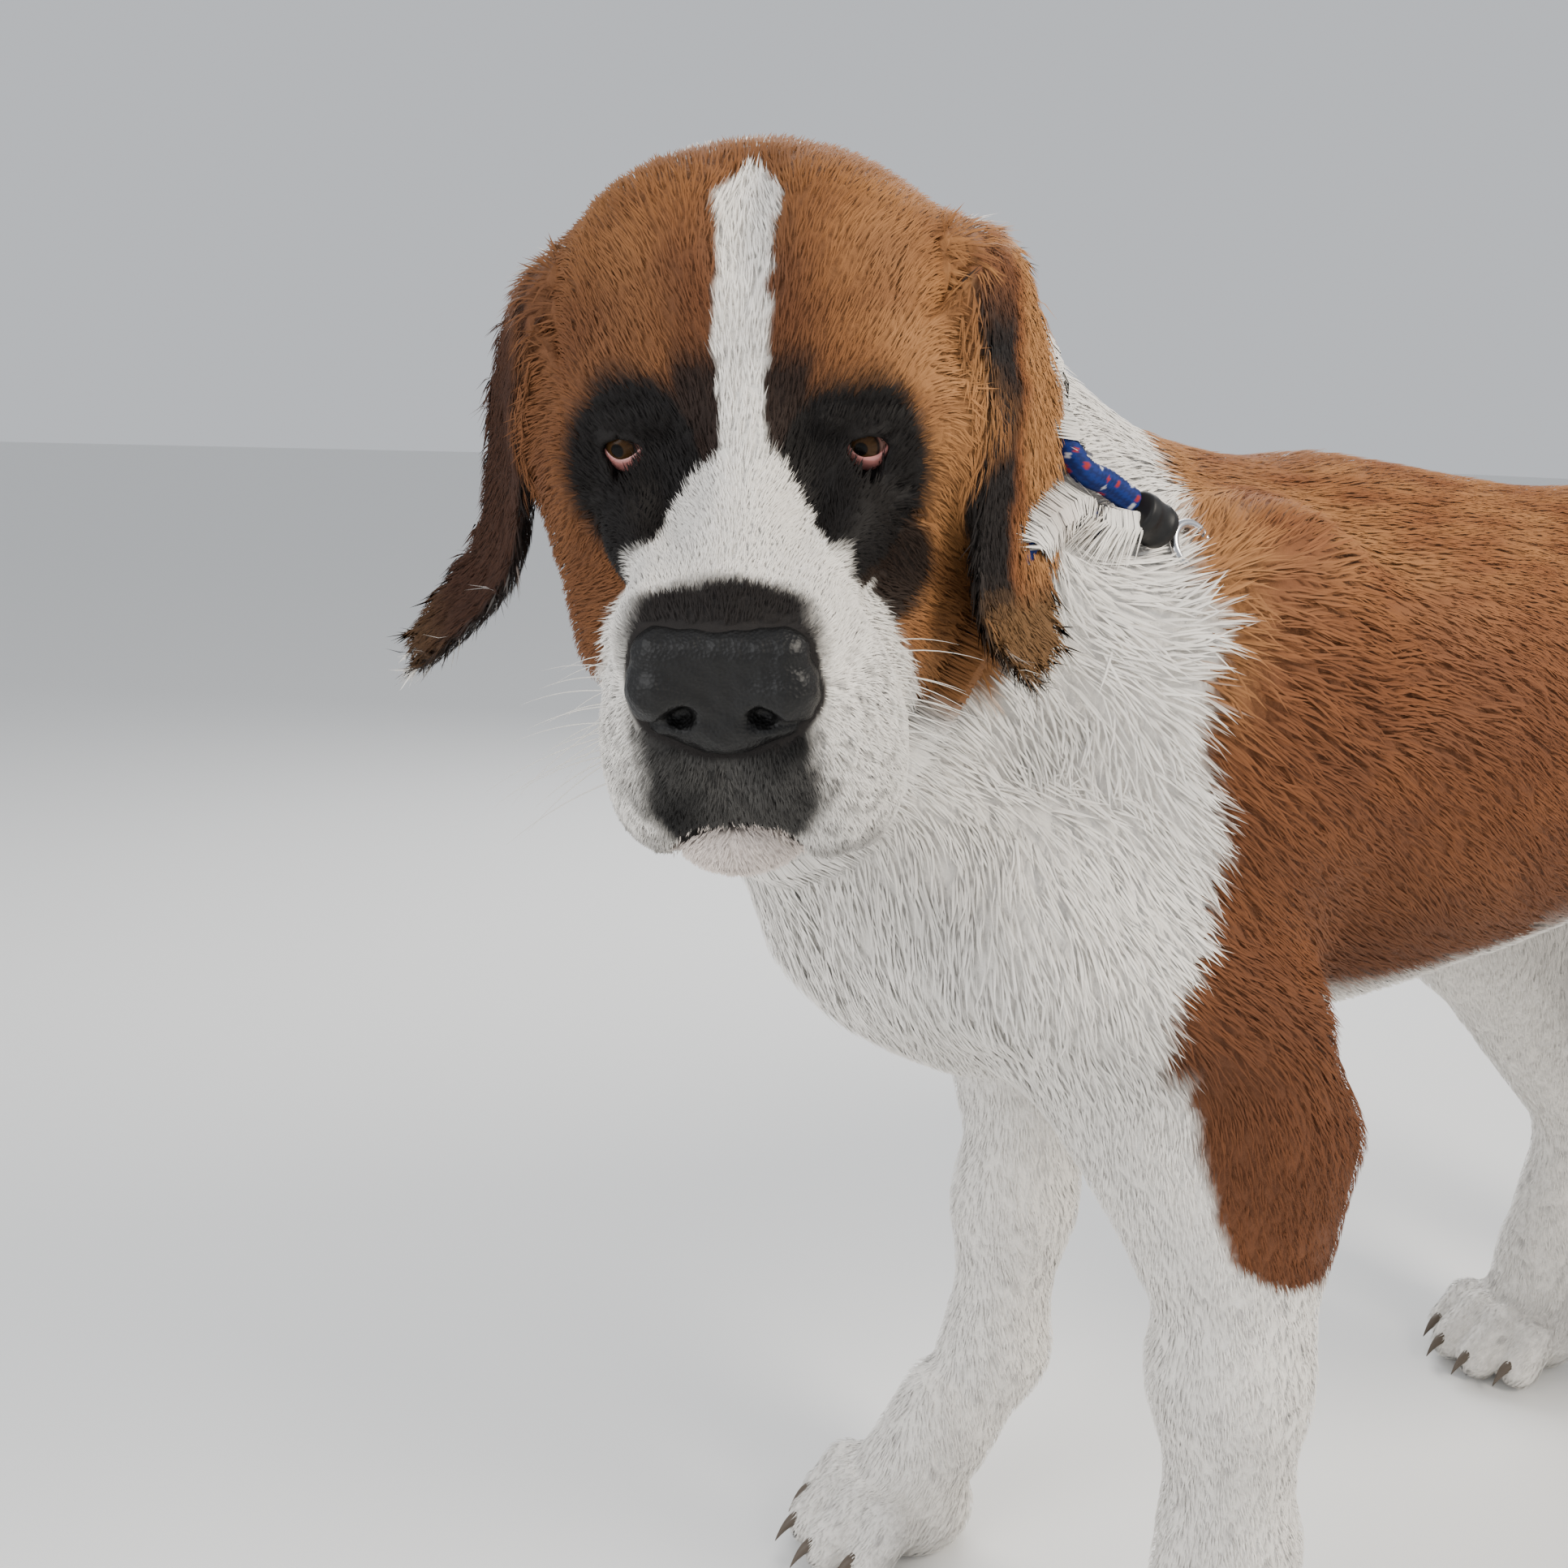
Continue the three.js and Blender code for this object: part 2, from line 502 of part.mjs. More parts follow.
// A paw: its pad and pastern, its four toes and their claws
function pawSolids({ fetlock, paw: [x, y] }) {
  const pad = wrap([V(x, y + 12, 60), V(x, y + 2, 24)], join(padMasses({ fetlock, paw: [x, y] })), {
    columns: 11,
    rows: 6,
    fan: 0.42,
  });
  const pieces = [pad];
  for (const toe of TOES) {
    const knuckle = toeKnuckle(x, y, toe);
    const tip = toeTip(x, y, toe);
    const line = new THREE.CatmullRomCurve3([V(x + toe.x * 0.6, y + 6, 34), V(...knuckle), V(...tip)]);
    const radius = (t) => THREE.MathUtils.lerp(18.5, toe.r - 2.5, t);
    pieces.push(
      loft(6, 5, (row, column) => {
        const t = THREE.MathUtils.clamp((row - 0.2) / 0.4, 0, 1);
        const lean = row < 0.2 ? row / 0.2 - 1 : row > 0.6 ? (row - 0.6) / 0.4 : 0;
        const along = line.getTangentAt(t);
        const side = V(0, 0, 1).cross(along).normalize();
        const over = along.clone().cross(side);
        const angle = (column + 0.25) * 2 * Math.PI;
        const out = over.multiplyScalar(Math.cos(angle)).addScaledVector(side, Math.sin(angle));
        const p = line.getPointAt(t).addScaledVector(out, Math.cos((lean * Math.PI) / 2) * radius(t));
        return p.addScaledVector(along, Math.sin((lean * Math.PI) / 2) * radius(t));
      }),
    );
    const claw = new THREE.ConeGeometry(6, 24, 4).rotateX(radians(112));
    pieces.push(solidOf(claw.translate(tip[0], tip[1] - toe.r, tip[2] - 1)));
  }
  return pieces;
}

// Locks of hair. Each is a flat, tapered leaf, rooted in the core, that follows the core's surface
// along the coat's lie, stands off it past its middle and hangs free at the tip.
const LOCK_WIDTHS = [0, 0.7, 1, 0.7, 0];
const LOCK_HEIGHTS = [-0.8, -0.12, 0.5, 0.88, 1.05];
function draws(seed) {
  let state = seed;
  return (low, high) => {
    state = (state * 16807) % 2147483647;
    return low + ((high - low) * state) / 2147483647;
  };
}
function slope(field, p) {
  const d = field(p);
  const ways = [V(2, 0, 0), V(0, 2, 0), V(0, 0, 2)];
  return V(...ways.map((way) => field(way.add(p)) - d)).normalize();
}
function lock(core, root, flow, { length, width, thick, lift, swerve }) {
  const last = LOCK_WIDTHS.length - 1;
  const stations = [];
  const p = root.clone();
  for (let i = 0; i <= last; i++) {
    const out = slope(core, p);
    const way = flow(p);
    way.addScaledVector(out, -way.dot(out)).normalize();
    const side = way.clone().cross(out);
    const centre = p.clone().addScaledVector(out, LOCK_HEIGHTS[i] * lift);
    centre.addScaledVector(side, swerve * (i / last) ** 2);
    stations.push({ centre, out, side });
    for (let half = 0; half < 2; half++) {
      p.addScaledVector(way, length / last / 2);
      p.addScaledVector(slope(core, p), -core(p));
    }
  }
  return loft(4, last, (row, column) => {
    const i = Math.round(row * last);
    const { centre, out, side } = stations[i];
    const angle = column * 2 * Math.PI;
    const across = (Math.cos(angle) * LOCK_WIDTHS[i] * width) / 2;
    const over = (Math.sin(angle) * LOCK_WIDTHS[i] * thick) / 2;
    return centre.clone().addScaledVector(side, across).addScaledVector(out, over);
  });
}
function tailLocks() {
  const draw = draws(5);
  const curve = new THREE.CatmullRomCurve3(TAIL);
  const core = onTrunk(tailField, LIMB_FILLET);
  const locks = [];
  const rings = 5;
  for (let row = 0; row < rings; row++)
    for (let column = 0; column < 4; column++) {
      const t = 0.2 + (0.62 * (row + draw(-0.25, 0.25))) / (rings - 1);
      const along = curve.getTangentAt(t);
      const side = V(1, 0, 0).addScaledVector(along, -along.x).normalize();
      const angle = ((column + (row % 2) / 2 + draw(-0.12, 0.12)) / 4) * 2 * Math.PI;
      const out = side.clone().multiplyScalar(Math.cos(angle));
      out.addScaledVector(along.clone().cross(side), Math.sin(angle));
      const root = cast(core, curve.getPointAt(t), out, 90);
      const shape = { length: draw(105, 135), width: draw(34, 42), thick: draw(8, 10) };
      locks.push(lock(core, root, () => along.clone(), { ...shape, lift: draw(14, 20), swerve: draw(-12, 12) }));
    }
  return locks;
}
// Breeches hang behind the thigh. They are grown by a gap where they clear the shank's room.

// The flesh in one piece
function flesh() {
  const lines = (points) => points.map((p) => V(...p));
  const forward = V(0, 1, 0);
  const back = [[0, 545, 598], [0, 400, 590], [0, 150, 560], [0, 0, 545], [0, -90, 575], [-3, -160, 640], [10, -222, 696]];
  const pieces = [
    wrap(lines(back), fleshField, { columns: 28, rows: 30, fan: 0.12, endFan: 0.08 }),
    wrap([V(0, 560, 608), ...TAIL.slice(2, 5)], onTrunk(tailField, LIMB_FILLET), { columns: 10, rows: 11, reach: 90, up: V(1, 0, 0) }),
    wrap(headSpine, headNeck, { columns: 35, rows: 34, fan: 0.12, endFan: 0.27, reach: 165 }),
  ];
  for (const [name, s] of SIDES) {
    const fore = FORE[name];
    const hind = HIND[name];
    const foreField = onTrunk(join(forelegMasses(s, fore)), LIMB_FILLET);
    const rear = hindField(name, s);
    const foreLine = [[s * 108, fore.elbow, 424], [s * 116, fore.elbow, ELBOW_HEIGHT], fore.forearm, fore.wrist, fore.fetlock];
    const thighLine = [[s * 70, 480, 560], [s * 88, hind.stifle + 66, 480], [s * 104, hind.stifle + 16, 400]];
    const shankLine = [[s * 104, hind.stifle + 20, 400], [hind.hock[0], hind.hock[1] - 76, 270], hind.hock, hind.fetlock];
    pieces.push(
      wrap(lines(foreLine), foreField, { columns: 14, rows: 15, fan: 0.16, reach: 62, up: forward }),
      wrap(lines(thighLine), rear, { columns: 14, rows: 11, fan: 0.22, reach: 112, up: forward }),
      wrap(lines(shankLine), (p) => rear(p) + 1, { columns: 12, rows: 12, fan: 0.16, reach: 76, up: forward }),
    );
    for (const foot of [fore, hind]) pieces.push(...pawSolids(foot));
  }
  pieces.push(...tailLocks());
  const whole = faceDetails(pieces.reduce((a, b) => a.add(b)));
  return trim(whole, [plane(V(0, 0, 0), V(0, 0, -1))], 0);
}

// The whole is parted into nodes, each taken off what is left. The ears, collar and its
// fittings lie in the coat, which gives way to them.
let rest = flesh();
const keeperSeat = keeper(GAP);
const ropeSeat = rope(2 * GAP);
for (const [name, s] of SIDES) rest = rest.subtract(ear(name, s, GAP));
rest = rest.subtract(ropeSeat).subtract(keeperSeat).subtract(ring(GAP));
function part(name, planes, material) {
  add(dog, name, trim(rest, planes, -GAP / 2), material);
  rest = rest.subtract(trim(everything, planes, GAP / 2));
}
for (const [name, s] of SIDES) {
  part(`forepaw_${name}`, [below(PASTERN_TOP), outer(s), ahead], white);
  part(`hindpaw_${name}`, [below(PASTERN_TOP), outer(s), behind], white);
}
part("tail", [TAIL_CUT, ...TAIL_SIDES], white);
for (const [name, s] of SIDES) {
  const knee = kneeCut(HIND[name].stifle);
  part(`shank_${name}`, [knee, outer(s), behind], white);
  part(`thigh_${name}`, [HIP_CUT, outer(s), behind], rust);
  part(`foreleg_${name}`, [below(FORE_TOP), outer(s), ahead], white);
}
part("head", [HEAD_CUT], rust);
part("neck", [NECK_CUT], white);
add(dog, "torso", rest, rust);
eyes();
nose();
for (const [name, s] of SIDES) add(dog, `ear_${name}`, ear(name, s).subtract(ropeSeat), rust);
add(dog, "collar_rope", rope(0).subtract(keeperSeat), blueRope);
add(dog, "collar_keeper", keeper(0), blackKeeper);
add(dog, "collar_ring", ring(0), steel);

// The frame's origin is under the middle of the whole, on the floor
const box = new THREE.Box3().setFromObject(dog);
dog.position.set(-(box.min.x + box.max.x) / 2, -(box.min.y + box.max.y) / 2, 0);

export default dog;
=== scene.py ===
# Looks of a standing Saint Bernard, its head turned to its left: one skin, a coat of solid tufts, eyes,
# nose, claws, whiskers and a rope collar. Forms are worked out in millimetres on the dog's own axes
# (it faces -Y, its left is +X, the floor is Z = 0), and go into the frame's metres as meshes.
import math

import bmesh
import bpy
import numpy as np
from mathutils import Matrix, Vector


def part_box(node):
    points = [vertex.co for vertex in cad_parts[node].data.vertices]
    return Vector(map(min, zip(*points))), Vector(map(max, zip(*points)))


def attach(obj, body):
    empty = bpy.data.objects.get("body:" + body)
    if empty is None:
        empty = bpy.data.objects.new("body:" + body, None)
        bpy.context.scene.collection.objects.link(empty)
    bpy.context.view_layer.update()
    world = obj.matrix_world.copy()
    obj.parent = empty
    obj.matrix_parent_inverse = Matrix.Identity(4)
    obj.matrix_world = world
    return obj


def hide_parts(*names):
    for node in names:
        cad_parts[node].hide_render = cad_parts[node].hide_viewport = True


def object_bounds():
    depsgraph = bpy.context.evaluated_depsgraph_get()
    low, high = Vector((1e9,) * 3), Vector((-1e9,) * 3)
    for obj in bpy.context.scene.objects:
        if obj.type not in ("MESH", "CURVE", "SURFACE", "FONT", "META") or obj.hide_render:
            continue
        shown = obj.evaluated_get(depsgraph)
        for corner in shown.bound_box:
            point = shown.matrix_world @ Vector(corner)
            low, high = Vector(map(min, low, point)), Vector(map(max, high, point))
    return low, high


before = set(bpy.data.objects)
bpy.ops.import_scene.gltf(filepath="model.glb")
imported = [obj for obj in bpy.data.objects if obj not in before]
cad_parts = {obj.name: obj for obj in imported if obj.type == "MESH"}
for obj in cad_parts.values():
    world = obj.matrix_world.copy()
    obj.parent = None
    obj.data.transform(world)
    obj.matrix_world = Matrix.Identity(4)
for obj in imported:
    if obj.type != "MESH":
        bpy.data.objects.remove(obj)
cad_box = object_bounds()

SIDES = (("left", 1), ("right", -1))
BODY = "root"

# The dog's measures, as in the solids
WITHERS_HEIGHT = 705
ELBOW_HEIGHT = 362
ELBOW_BACK = {1: -12, -1: 12}  # of the left and right elbow
CHEST_HALF_WIDTH = 138
BACK_HEIGHT = WITHERS_HEIGHT - 12
HEAD_EYES = np.array([114.0, -302.0, 701.0])
HEAD_TURN = math.radians(63)
HEAD_DROP = math.radians(16)
HEAD_ROLL = math.radians(2.3)
EYE_RADIUS = 12.5
EYE_SPREAD = 51.5
EYE_TURN = math.radians(12)
EYE_RISE = 5


def unit(v):
    v = np.asarray(v, float)
    return v / np.maximum(np.linalg.norm(v, axis=-1, keepdims=True), 1e-9)


# The face's own axes: x to the dog's left, y out along the muzzle, z up through the crown
look = np.array([math.sin(HEAD_TURN), -math.cos(HEAD_TURN), 0])
out_axis = look * math.cos(HEAD_DROP) - [0, 0, math.sin(HEAD_DROP)]
level_axis = look * math.sin(HEAD_DROP) + [0, 0, math.cos(HEAD_DROP)]
side_axis = np.cross(level_axis, out_axis)
FACE = np.stack([
    side_axis * math.cos(HEAD_ROLL) + level_axis * math.sin(HEAD_ROLL),
    out_axis,
    level_axis * math.cos(HEAD_ROLL) - side_axis * math.sin(HEAD_ROLL)])


def to_face(p):
    return (p - HEAD_EYES) @ FACE.T


def from_face(q):
    return np.asarray(q, float) @ FACE + HEAD_EYES


# Where the dog's axes lie in the frame, found from its eyes
def frame_shift():
    corners = [np.array(c) for side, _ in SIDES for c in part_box("eye_" + side)]
    between = sum(corners) / 4
    shift = between - from_face([0, -EYE_RADIUS, EYE_RISE]) / 1000
    shift[2] = 0
    return shift


SHIFT = frame_shift()


def to_frame(p):
    return np.asarray(p, float) / 1000 + SHIFT


# Masses of the field. Each gives rough distances of points, below 0 inside
def mass(centre, size, pitch=0):
    c, s = math.cos(math.radians(pitch)), math.sin(math.radians(pitch))

    def distance(p):
        x = (p[:, 0] - centre[0]) / size[0]
        dy = p[:, 1] - centre[1]
        dz = p[:, 2] - centre[2]
        y = (dy * c + dz * s) / size[1]
        z = (dz * c - dy * s) / size[2]
        k = np.sqrt(x * x + y * y + z * z)
        slope = np.sqrt((x / size[0]) ** 2 + (y / size[1]) ** 2 + (z / size[2]) ** 2)
        return k * (k - 1) / np.maximum(slope, 1e-6)

    return distance


def limb(start, end, r0, r1):
    a = np.array(start, np.float32)
    along = np.array(end, np.float32) - a
    length2 = float(along @ along)

    def distance(p):
        d = p - a
        t = np.clip(d @ along / length2, 0, 1)
        return np.linalg.norm(d - t[:, None] * along, axis=1) - (r0 + (r1 - r0) * t)

    return distance


def block(centre, half, round_):
    def distance(p):
        d = np.abs(p - np.array(centre, np.float32)) - np.array(half, np.float32)
        return np.linalg.norm(np.maximum(d, 0), axis=1) + np.minimum(d.max(1), 0) - round_

    return distance


def blend(a, b, k):
    h = np.maximum(k - np.abs(a - b), 0) / k
    return np.minimum(a, b) - h * h * k / 4


def join(masses):
    def distance(p):
        d = np.full(len(p), 1e3, np.float32)
        for m, k in masses:
            d = blend(d, m(p), k)
        return d

    return distance


def carve(field, hollows):
    def distance(p):
        d = field(p)
        for m, k in hollows:
            d = -blend(-d, m(p), k)
        return d

    return distance


def within(centre, radius, field):
    """The field near its own flesh, and a large distance elsewhere"""
    centre = np.array(centre, np.float32)

    def distance(p):
        d = np.full(len(p), 1e3, np.float32)
        near = ((p - centre) ** 2).sum(1) < radius * radius
        if near.any():
            d[near] = field(p[near])
        return d

    return distance


def step(x, low, high):
    """Smoothly 0 to 1 as x goes from low to high"""
    t = np.clip((x - low) / (high - low), 0, 1)
    return t * t * (3 - 2 * t)


def waves(p, size, seed):
    """Smooth noise from about -1 to 1, with bumps of about that size"""
    draw = np.random.default_rng(seed)
    total = np.zeros(len(p))
    for _ in range(7):
        turn = unit(draw.normal(size=3)) * 2 * math.pi / (size * draw.uniform(0.8, 2.2))
        total += np.sin(p @ turn + draw.uniform(0, 2 * math.pi))
    return total / 3


def pairs(make):
    return [piece for _, s in SIDES for piece in make(s)]


# Trunk and neck
trunk_neck = join([
    (mass([0, 115, 546], [CHEST_HALF_WIDTH, 235, 150]), 1),
    (mass([0, -94, 512], [118, 128, 147], -12), 40),
    (mass([0, 10, 458], [88, 165, 70]), 40),
    (mass([0, 25, WITHERS_HEIGHT - 66], [62, 135, 66]), 40),
    (limb([0, 90, BACK_HEIGHT - 38], [0, 470, BACK_HEIGHT - 44], 38, 36), 40),
    (mass([0, 345, 588], [108, 180, 96]), 40),
    (mass([0, 270, 538], [112, 180, 110], 8), 40),
    (mass([0, 475, 600], [108, 112, 88]), 40),
    *pairs(lambda s: [
        (mass([s * 92, -35, 560], [56, 82, 128], -18), 40),
        (limb([s * 92, -140, 478], [s * 112, ELBOW_BACK[s] - 12, ELBOW_HEIGHT + 55], 58, 50), 40),
    ]),
    (limb([0, -70, 585], [-6, -185, 668], 120, 108), 50),
    (limb([-6, -185, 668], [22, -246, 712], 106, 94), 40),
    (limb([0, -20, 636], [-20, -206, 732], 52, 56), 40),
    (limb([0, -166, 488], [38, -240, 598], 74, 66), 45),
])

# Legs and paws
FORE = {
    "left": dict(
        elbow=ELBOW_BACK[1], forearm=[128, -20, 232], wrist=[129, -10, 128], fetlock=[130, -26, 70],
        paw=[131, -52]),
    "right": dict(
        elbow=ELBOW_BACK[-1], forearm=[-84, -26, 232], wrist=[-82, -34, 132], fetlock=[-86, -66, 68],
        paw=[-89, -96]),
}
HIND = {
    "left": dict(stifle=396, hock=[106, 568, 196], fetlock=[108, 545, 88], paw=[110, 534]),
    "right": dict(stifle=366, hock=[-106, 508, 196], fetlock=[-107, 485, 88], paw=[-108, 474]),
}
FORE_GIRTH = {1: 0.94, -1: 0.86}  # of the left and right foreleg below the elbow
STIFLE_HEIGHT = 385
TOES = ((-33, 52, 18.5), (-12, 70, 20), (12, 71, 20), (33, 54, 18.5))  # across, reach, radius


def foreleg(s, leg):
    elbow, forearm, wrist, fetlock = leg["elbow"], leg["forearm"], leg["wrist"], leg["fetlock"]
    girth = FORE_GIRTH[s]
    return join([
        (limb([s * 116, elbow, ELBOW_HEIGHT], forearm, 52, 41 * girth), 26),
        (limb([s * 122, elbow + 24, ELBOW_HEIGHT], [s * 118, elbow + 24, 312], 30, 24), 26),
        (limb([s * 72, elbow - 93, 450], [s * 112, elbow - 28, 312], 48, 36), 26),
        (limb(forearm, wrist, 41 * girth, 36 * girth), 26),
        (limb(wrist, fetlock, 37 * girth, 35 * girth), 22),
    ])


def hindleg(s, leg):
    stifle, hock, fetlock = leg["stifle"], leg["hock"], leg["fetlock"]
    x, y, z = hock
    knee = [s * 108, stifle, STIFLE_HEIGHT]
    return join([
        (mass([s * 80, 440 + stifle * 0.06, 520], [62, 100, 145], -12), 40),
        (mass([s * 56, 526, 570], [54, 52, 72]), 36),
        (limb([s * 96, stifle + 36, 470], knee, 74, 56), 36),
        (limb(knee, hock, 56, 28), 30),
        (limb([x, y - 60, z + 112], [x, y + 8, z + 10], 34, 20), 24),
        (limb(hock, fetlock, 31, 32), 20),
    ])


def toe_points(x, y, toe):
    across, reach, _ = toe
    return (
        [x + across * 0.6, y + 6, 34],
        [x + across * 0.95, y - reach * 0.45, 35],
        [x + across * 1.12, y - reach + 14, 17],
    )


def paw(leg):
    x, y = leg["paw"]
    fetlock = leg["fetlock"]
    pieces = [
        (limb([fetlock[0], fetlock[1], 92], [x, y + 4, 46], 32, 33), 20),
        (mass([x, y + 8, 25], [40, 42, 33]), 18),
    ]
    for toe in TOES:
        heel, knuckle, tip = toe_points(x, y, toe)
        pieces.append((limb(heel, knuckle, 18.5, toe[2] - 1), 5))
        pieces.append((limb(knuckle, tip, toe[2] - 1, toe[2] - 3), 4))
    return join(pieces)


# Tail
TAIL = np.array(
    [[0, 530, 620], [0, 602, 592], [2, 652, 500], [6, 676, 380], [12, 694, 270], [22, 730, 186]], float)
TAIL_RADII = (36, 38, 42, 42, 34, 12)
tail_field = join([(limb(TAIL[i], TAIL[i + 1], TAIL_RADII[i], TAIL_RADII[i + 1]), 24) for i in range(5)])

# Head, on the face's axes
head_flesh = carve(
    join([
        (mass([0, -90, 38], [94, 88, 76]), 1),
        (mass([0, -14, 6], [32, 32, 24]), 22),
        *pairs(lambda s: [
            (mass([s * 32, -58, 46], [44, 42, 56]), 26),
            (mass([s * 46, -28, 18], [32, 23, 22]), 30),
            (mass([s * 51, -24, -4], [31, 22, 24]), 20),
            (mass([s * 62, -66, -28], [40, 64, 54]), 22),
            (mass([s * 46, -46, -82], [42, 64, 46]), 24),
            (mass([s * 30, 6, -26], [30, 34, 26]), 16),
        ]),
        (block([0, 38, -56], [26, 54, 18], 17), 20),
        (block([0, 42, -44], [12, 46, 2], 14), 14),
        (limb([0, -4, -10], [0, 92, -43], 23, 18), 16),
        *pairs(lambda s: [
            (mass([s * 30 + 4, 58, -94], [31, 50, 54], -6), 12),
            (mass([s * 17 + 1, 86, -90], [24, 27, 30]), 10),
            (mass([s * 42 + 4, 30, -117], [22, 47, 41]), 12),
        ]),
        (mass([0, 84, -98], [24, 26, 21]), 12),
    ]),
    [
        (limb([0, 6, 62], [0, -70, 128], 7, 5), 16),
        *pairs(lambda s: [
            (mass([s * 30, 30, -2], [9, 16, 16]), 14),
            (limb([s * 3, 122, -84], [s * 2, 118, -122], 2.5, 3), 5),
        ]),
    ],
)
jaw_field = join([
    (limb([0, -30, -112], [0, 60, -124], 34, 27), 1),
    (mass([0, 66, -126], [33, 38, 25]), 12),
])
NOSE_FORM = [
    (block([0, 101, -47], [23, 5, 7], 10), 1),
    *pairs(lambda s: [(mass([s * 20, 101, -57], [15, 17, 17]), 8)]),
    (mass([0, 102, -69], [19, 15, 12]), 8),
]

# Ears: flaps that leave the skull, fold over and hang
EARS = {
    "left": [
        [76, -82, 66], [101, -82, 63], [107, -69, 24], [107, -47, -28], [110, -28, -74], [129, -18, -107]],
    "right": [
        [-76, -84, 57], [-99, -86, 50], [-110, -82, 18], [-114, -76, -26], [-129, -68, -73],
        [-176, -56, -117]],
}
EAR_WIDTHS = (28, 36, 38, 38, 36, 33)
EAR_THICK = 7
EAR_TURN = (0.35, 0.6)
EAR_STEPS = 36


def walk(line):
    """How far along a line each of its points lies"""
    return np.concatenate([[0], np.cumsum(np.linalg.norm(np.diff(line, axis=0), axis=1))])


def points_at(line, marks):
    return np.stack([np.interp(marks, walk(line), line[:, k]) for k in range(3)], 1)


def spline(points, count):
    """Points evenly along a Catmull-Rom curve, with its directions"""
    points = np.asarray(points, float)
    padded = np.vstack([2 * points[0] - points[1], points, 2 * points[-1] - points[-2]])
    fine = []
    for i in range(len(points) - 1):
        a, b, c, d = padded[i : i + 4]
        bend, swing = 2 * a - 5 * b + 4 * c - d, 3 * b - a - 3 * c + d
        for t in np.linspace(0, 1, 40, endpoint=False):
            fine.append(0.5 * (2 * b + (c - a) * t + bend * t**2 + swing * t**3))
    fine = np.array([*fine, points[-1]])
    spots = points_at(fine, np.linspace(0, walk(fine)[-1], count))
    return spots, unit(np.gradient(spots, axis=0))


class Ear:
    """An ear's middle line and the two ways across it, on the face's axes"""

    def __init__(self, name, s):
        self.line, self.along = spline(EARS[name], EAR_STEPS)
        t = np.linspace(0, 1, EAR_STEPS)
        turn_in = EAR_TURN[0] + (EAR_TURN[1] - EAR_TURN[0]) * t
        forward = np.stack([-s * turn_in, 0.9 + 0 * t, 0.1 + 0 * t], 1)
        self.forward = unit(forward - self.along * (self.along * forward).sum(1, keepdims=True))
        self.out = -s * np.cross(self.along, self.forward)
        round_ = np.sqrt(np.maximum(0, 1 - (2 * t - 1) ** 6))
        self.width = np.maximum(np.interp(t, np.linspace(0, 1, len(EAR_WIDTHS)), EAR_WIDTHS) * round_, 3)
        self.thick = np.maximum(EAR_THICK * round_, 1.5)

    def near(self, q, reach=150):
        """Which points lie near enough to the ear to be worked out"""
        return ((q - self.line[EAR_STEPS // 2]) ** 2).sum(1) < reach**2

    def place(self, q):
        """For points: the step along the ear, how far forward and inward they lie from its middle sheet,
        and how far past that step"""
        i = ((q[:, None, :] - self.line) ** 2).sum(2).argmin(1)
        d = q - self.line[i]
        across = (d * self.forward[i]).sum(1)
        cup = (across / 46) ** 2 * 12 * np.minimum(1, 3 * i / (EAR_STEPS - 1))
        return i, across, (d * self.out[i]).sum(1) + cup, (d * self.along[i]).sum(1)

    def field(self, q):
        i, across, off, past = self.place(q)
        u, v = across / self.width[i], off / self.thick[i]
        k = np.sqrt(u * u + v * v)
        d = k * (k - 1) / np.maximum(np.sqrt((u / self.width[i]) ** 2 + (v / self.thick[i]) ** 2), 1e-6)
        end = (i == 0) | (i == EAR_STEPS - 1)
        return np.where(end, np.hypot(np.maximum(d, 0), past) + np.minimum(d, 0), d)


ears = {name: Ear(name, s) for name, s in SIDES}


# The whole form out to the coat's tips
SHY = 3  # how far the trunk sinks where a limb or the head blends into it, so that it does not swell
LIMB_FILLET = 34
HEAD_FILLET = 30
PAW_FILLET = 6
head_near = within(from_face([0, -30, -20]), 260, lambda p: head_flesh(to_face(p).astype(np.float32)))
jaw_near = within(from_face([0, 20, -115]), 130, lambda p: jaw_field(to_face(p).astype(np.float32)))
LIMBS = [within([3, 640, 400], 330, tail_field)]
PAWS = []
for side_name, side in SIDES:
    fore, hind = FORE[side_name], HIND[side_name]
    LIMBS.append(within([side * 105, -10, 230], 300, foreleg(side, fore)))
    LIMBS.append(within([side * 100, 470, 330], 380, hindleg(side, hind)))
    PAWS += [within([*leg["paw"], 40], 150, paw(leg)) for leg in (fore, hind)]


def with_head(body, p):
    return np.minimum(body, blend(body + SHY, head_near(p), HEAD_FILLET))


def collar_seat(p):
    """The neck and head that the collar lies on"""
    return with_head(trunk_neck(p), p)


def flesh(p):
    body = trunk_neck(p)
    whole = with_head(body, p)
    for limb_field in LIMBS:
        whole = np.minimum(whole, blend(body + SHY, limb_field(p), LIMB_FILLET))
    for paw_field in PAWS:
        whole = blend(whole, paw_field(p), PAW_FILLET)
    return whole


# How deep the skin lies under the coat's tips
def head_share(q):
    return step(q[:, 1], -165, -105) * step(q[:, 2], -200, -160)


def coat_depth(p):
    q = to_face(p)
    on_head = head_share(q)
    face_depth = 2.4 + 2.6 * step(q[:, 1], 10, -60)
    face_depth = face_depth + 3 * step(q[:, 2], -70, -120) * step(q[:, 1], 10, -40)
    neck = step(p[:, 1], 40, -60) * step(p[:, 2], 400, 470)
    depth = 3.2 + 0.8 * neck + 8 * step(p[:, 1], 575, 625) * step(p[:, 2], 130, 170)
    leg = step(p[:, 2], 420, 250) * (1 - on_head)
    depth = depth + (2.4 - depth) * leg * (p[:, 1] < 600)
    depth = depth - 0.4 * step(p[:, 2], 90, 50)
    return depth * (1 - on_head) + face_depth * on_head


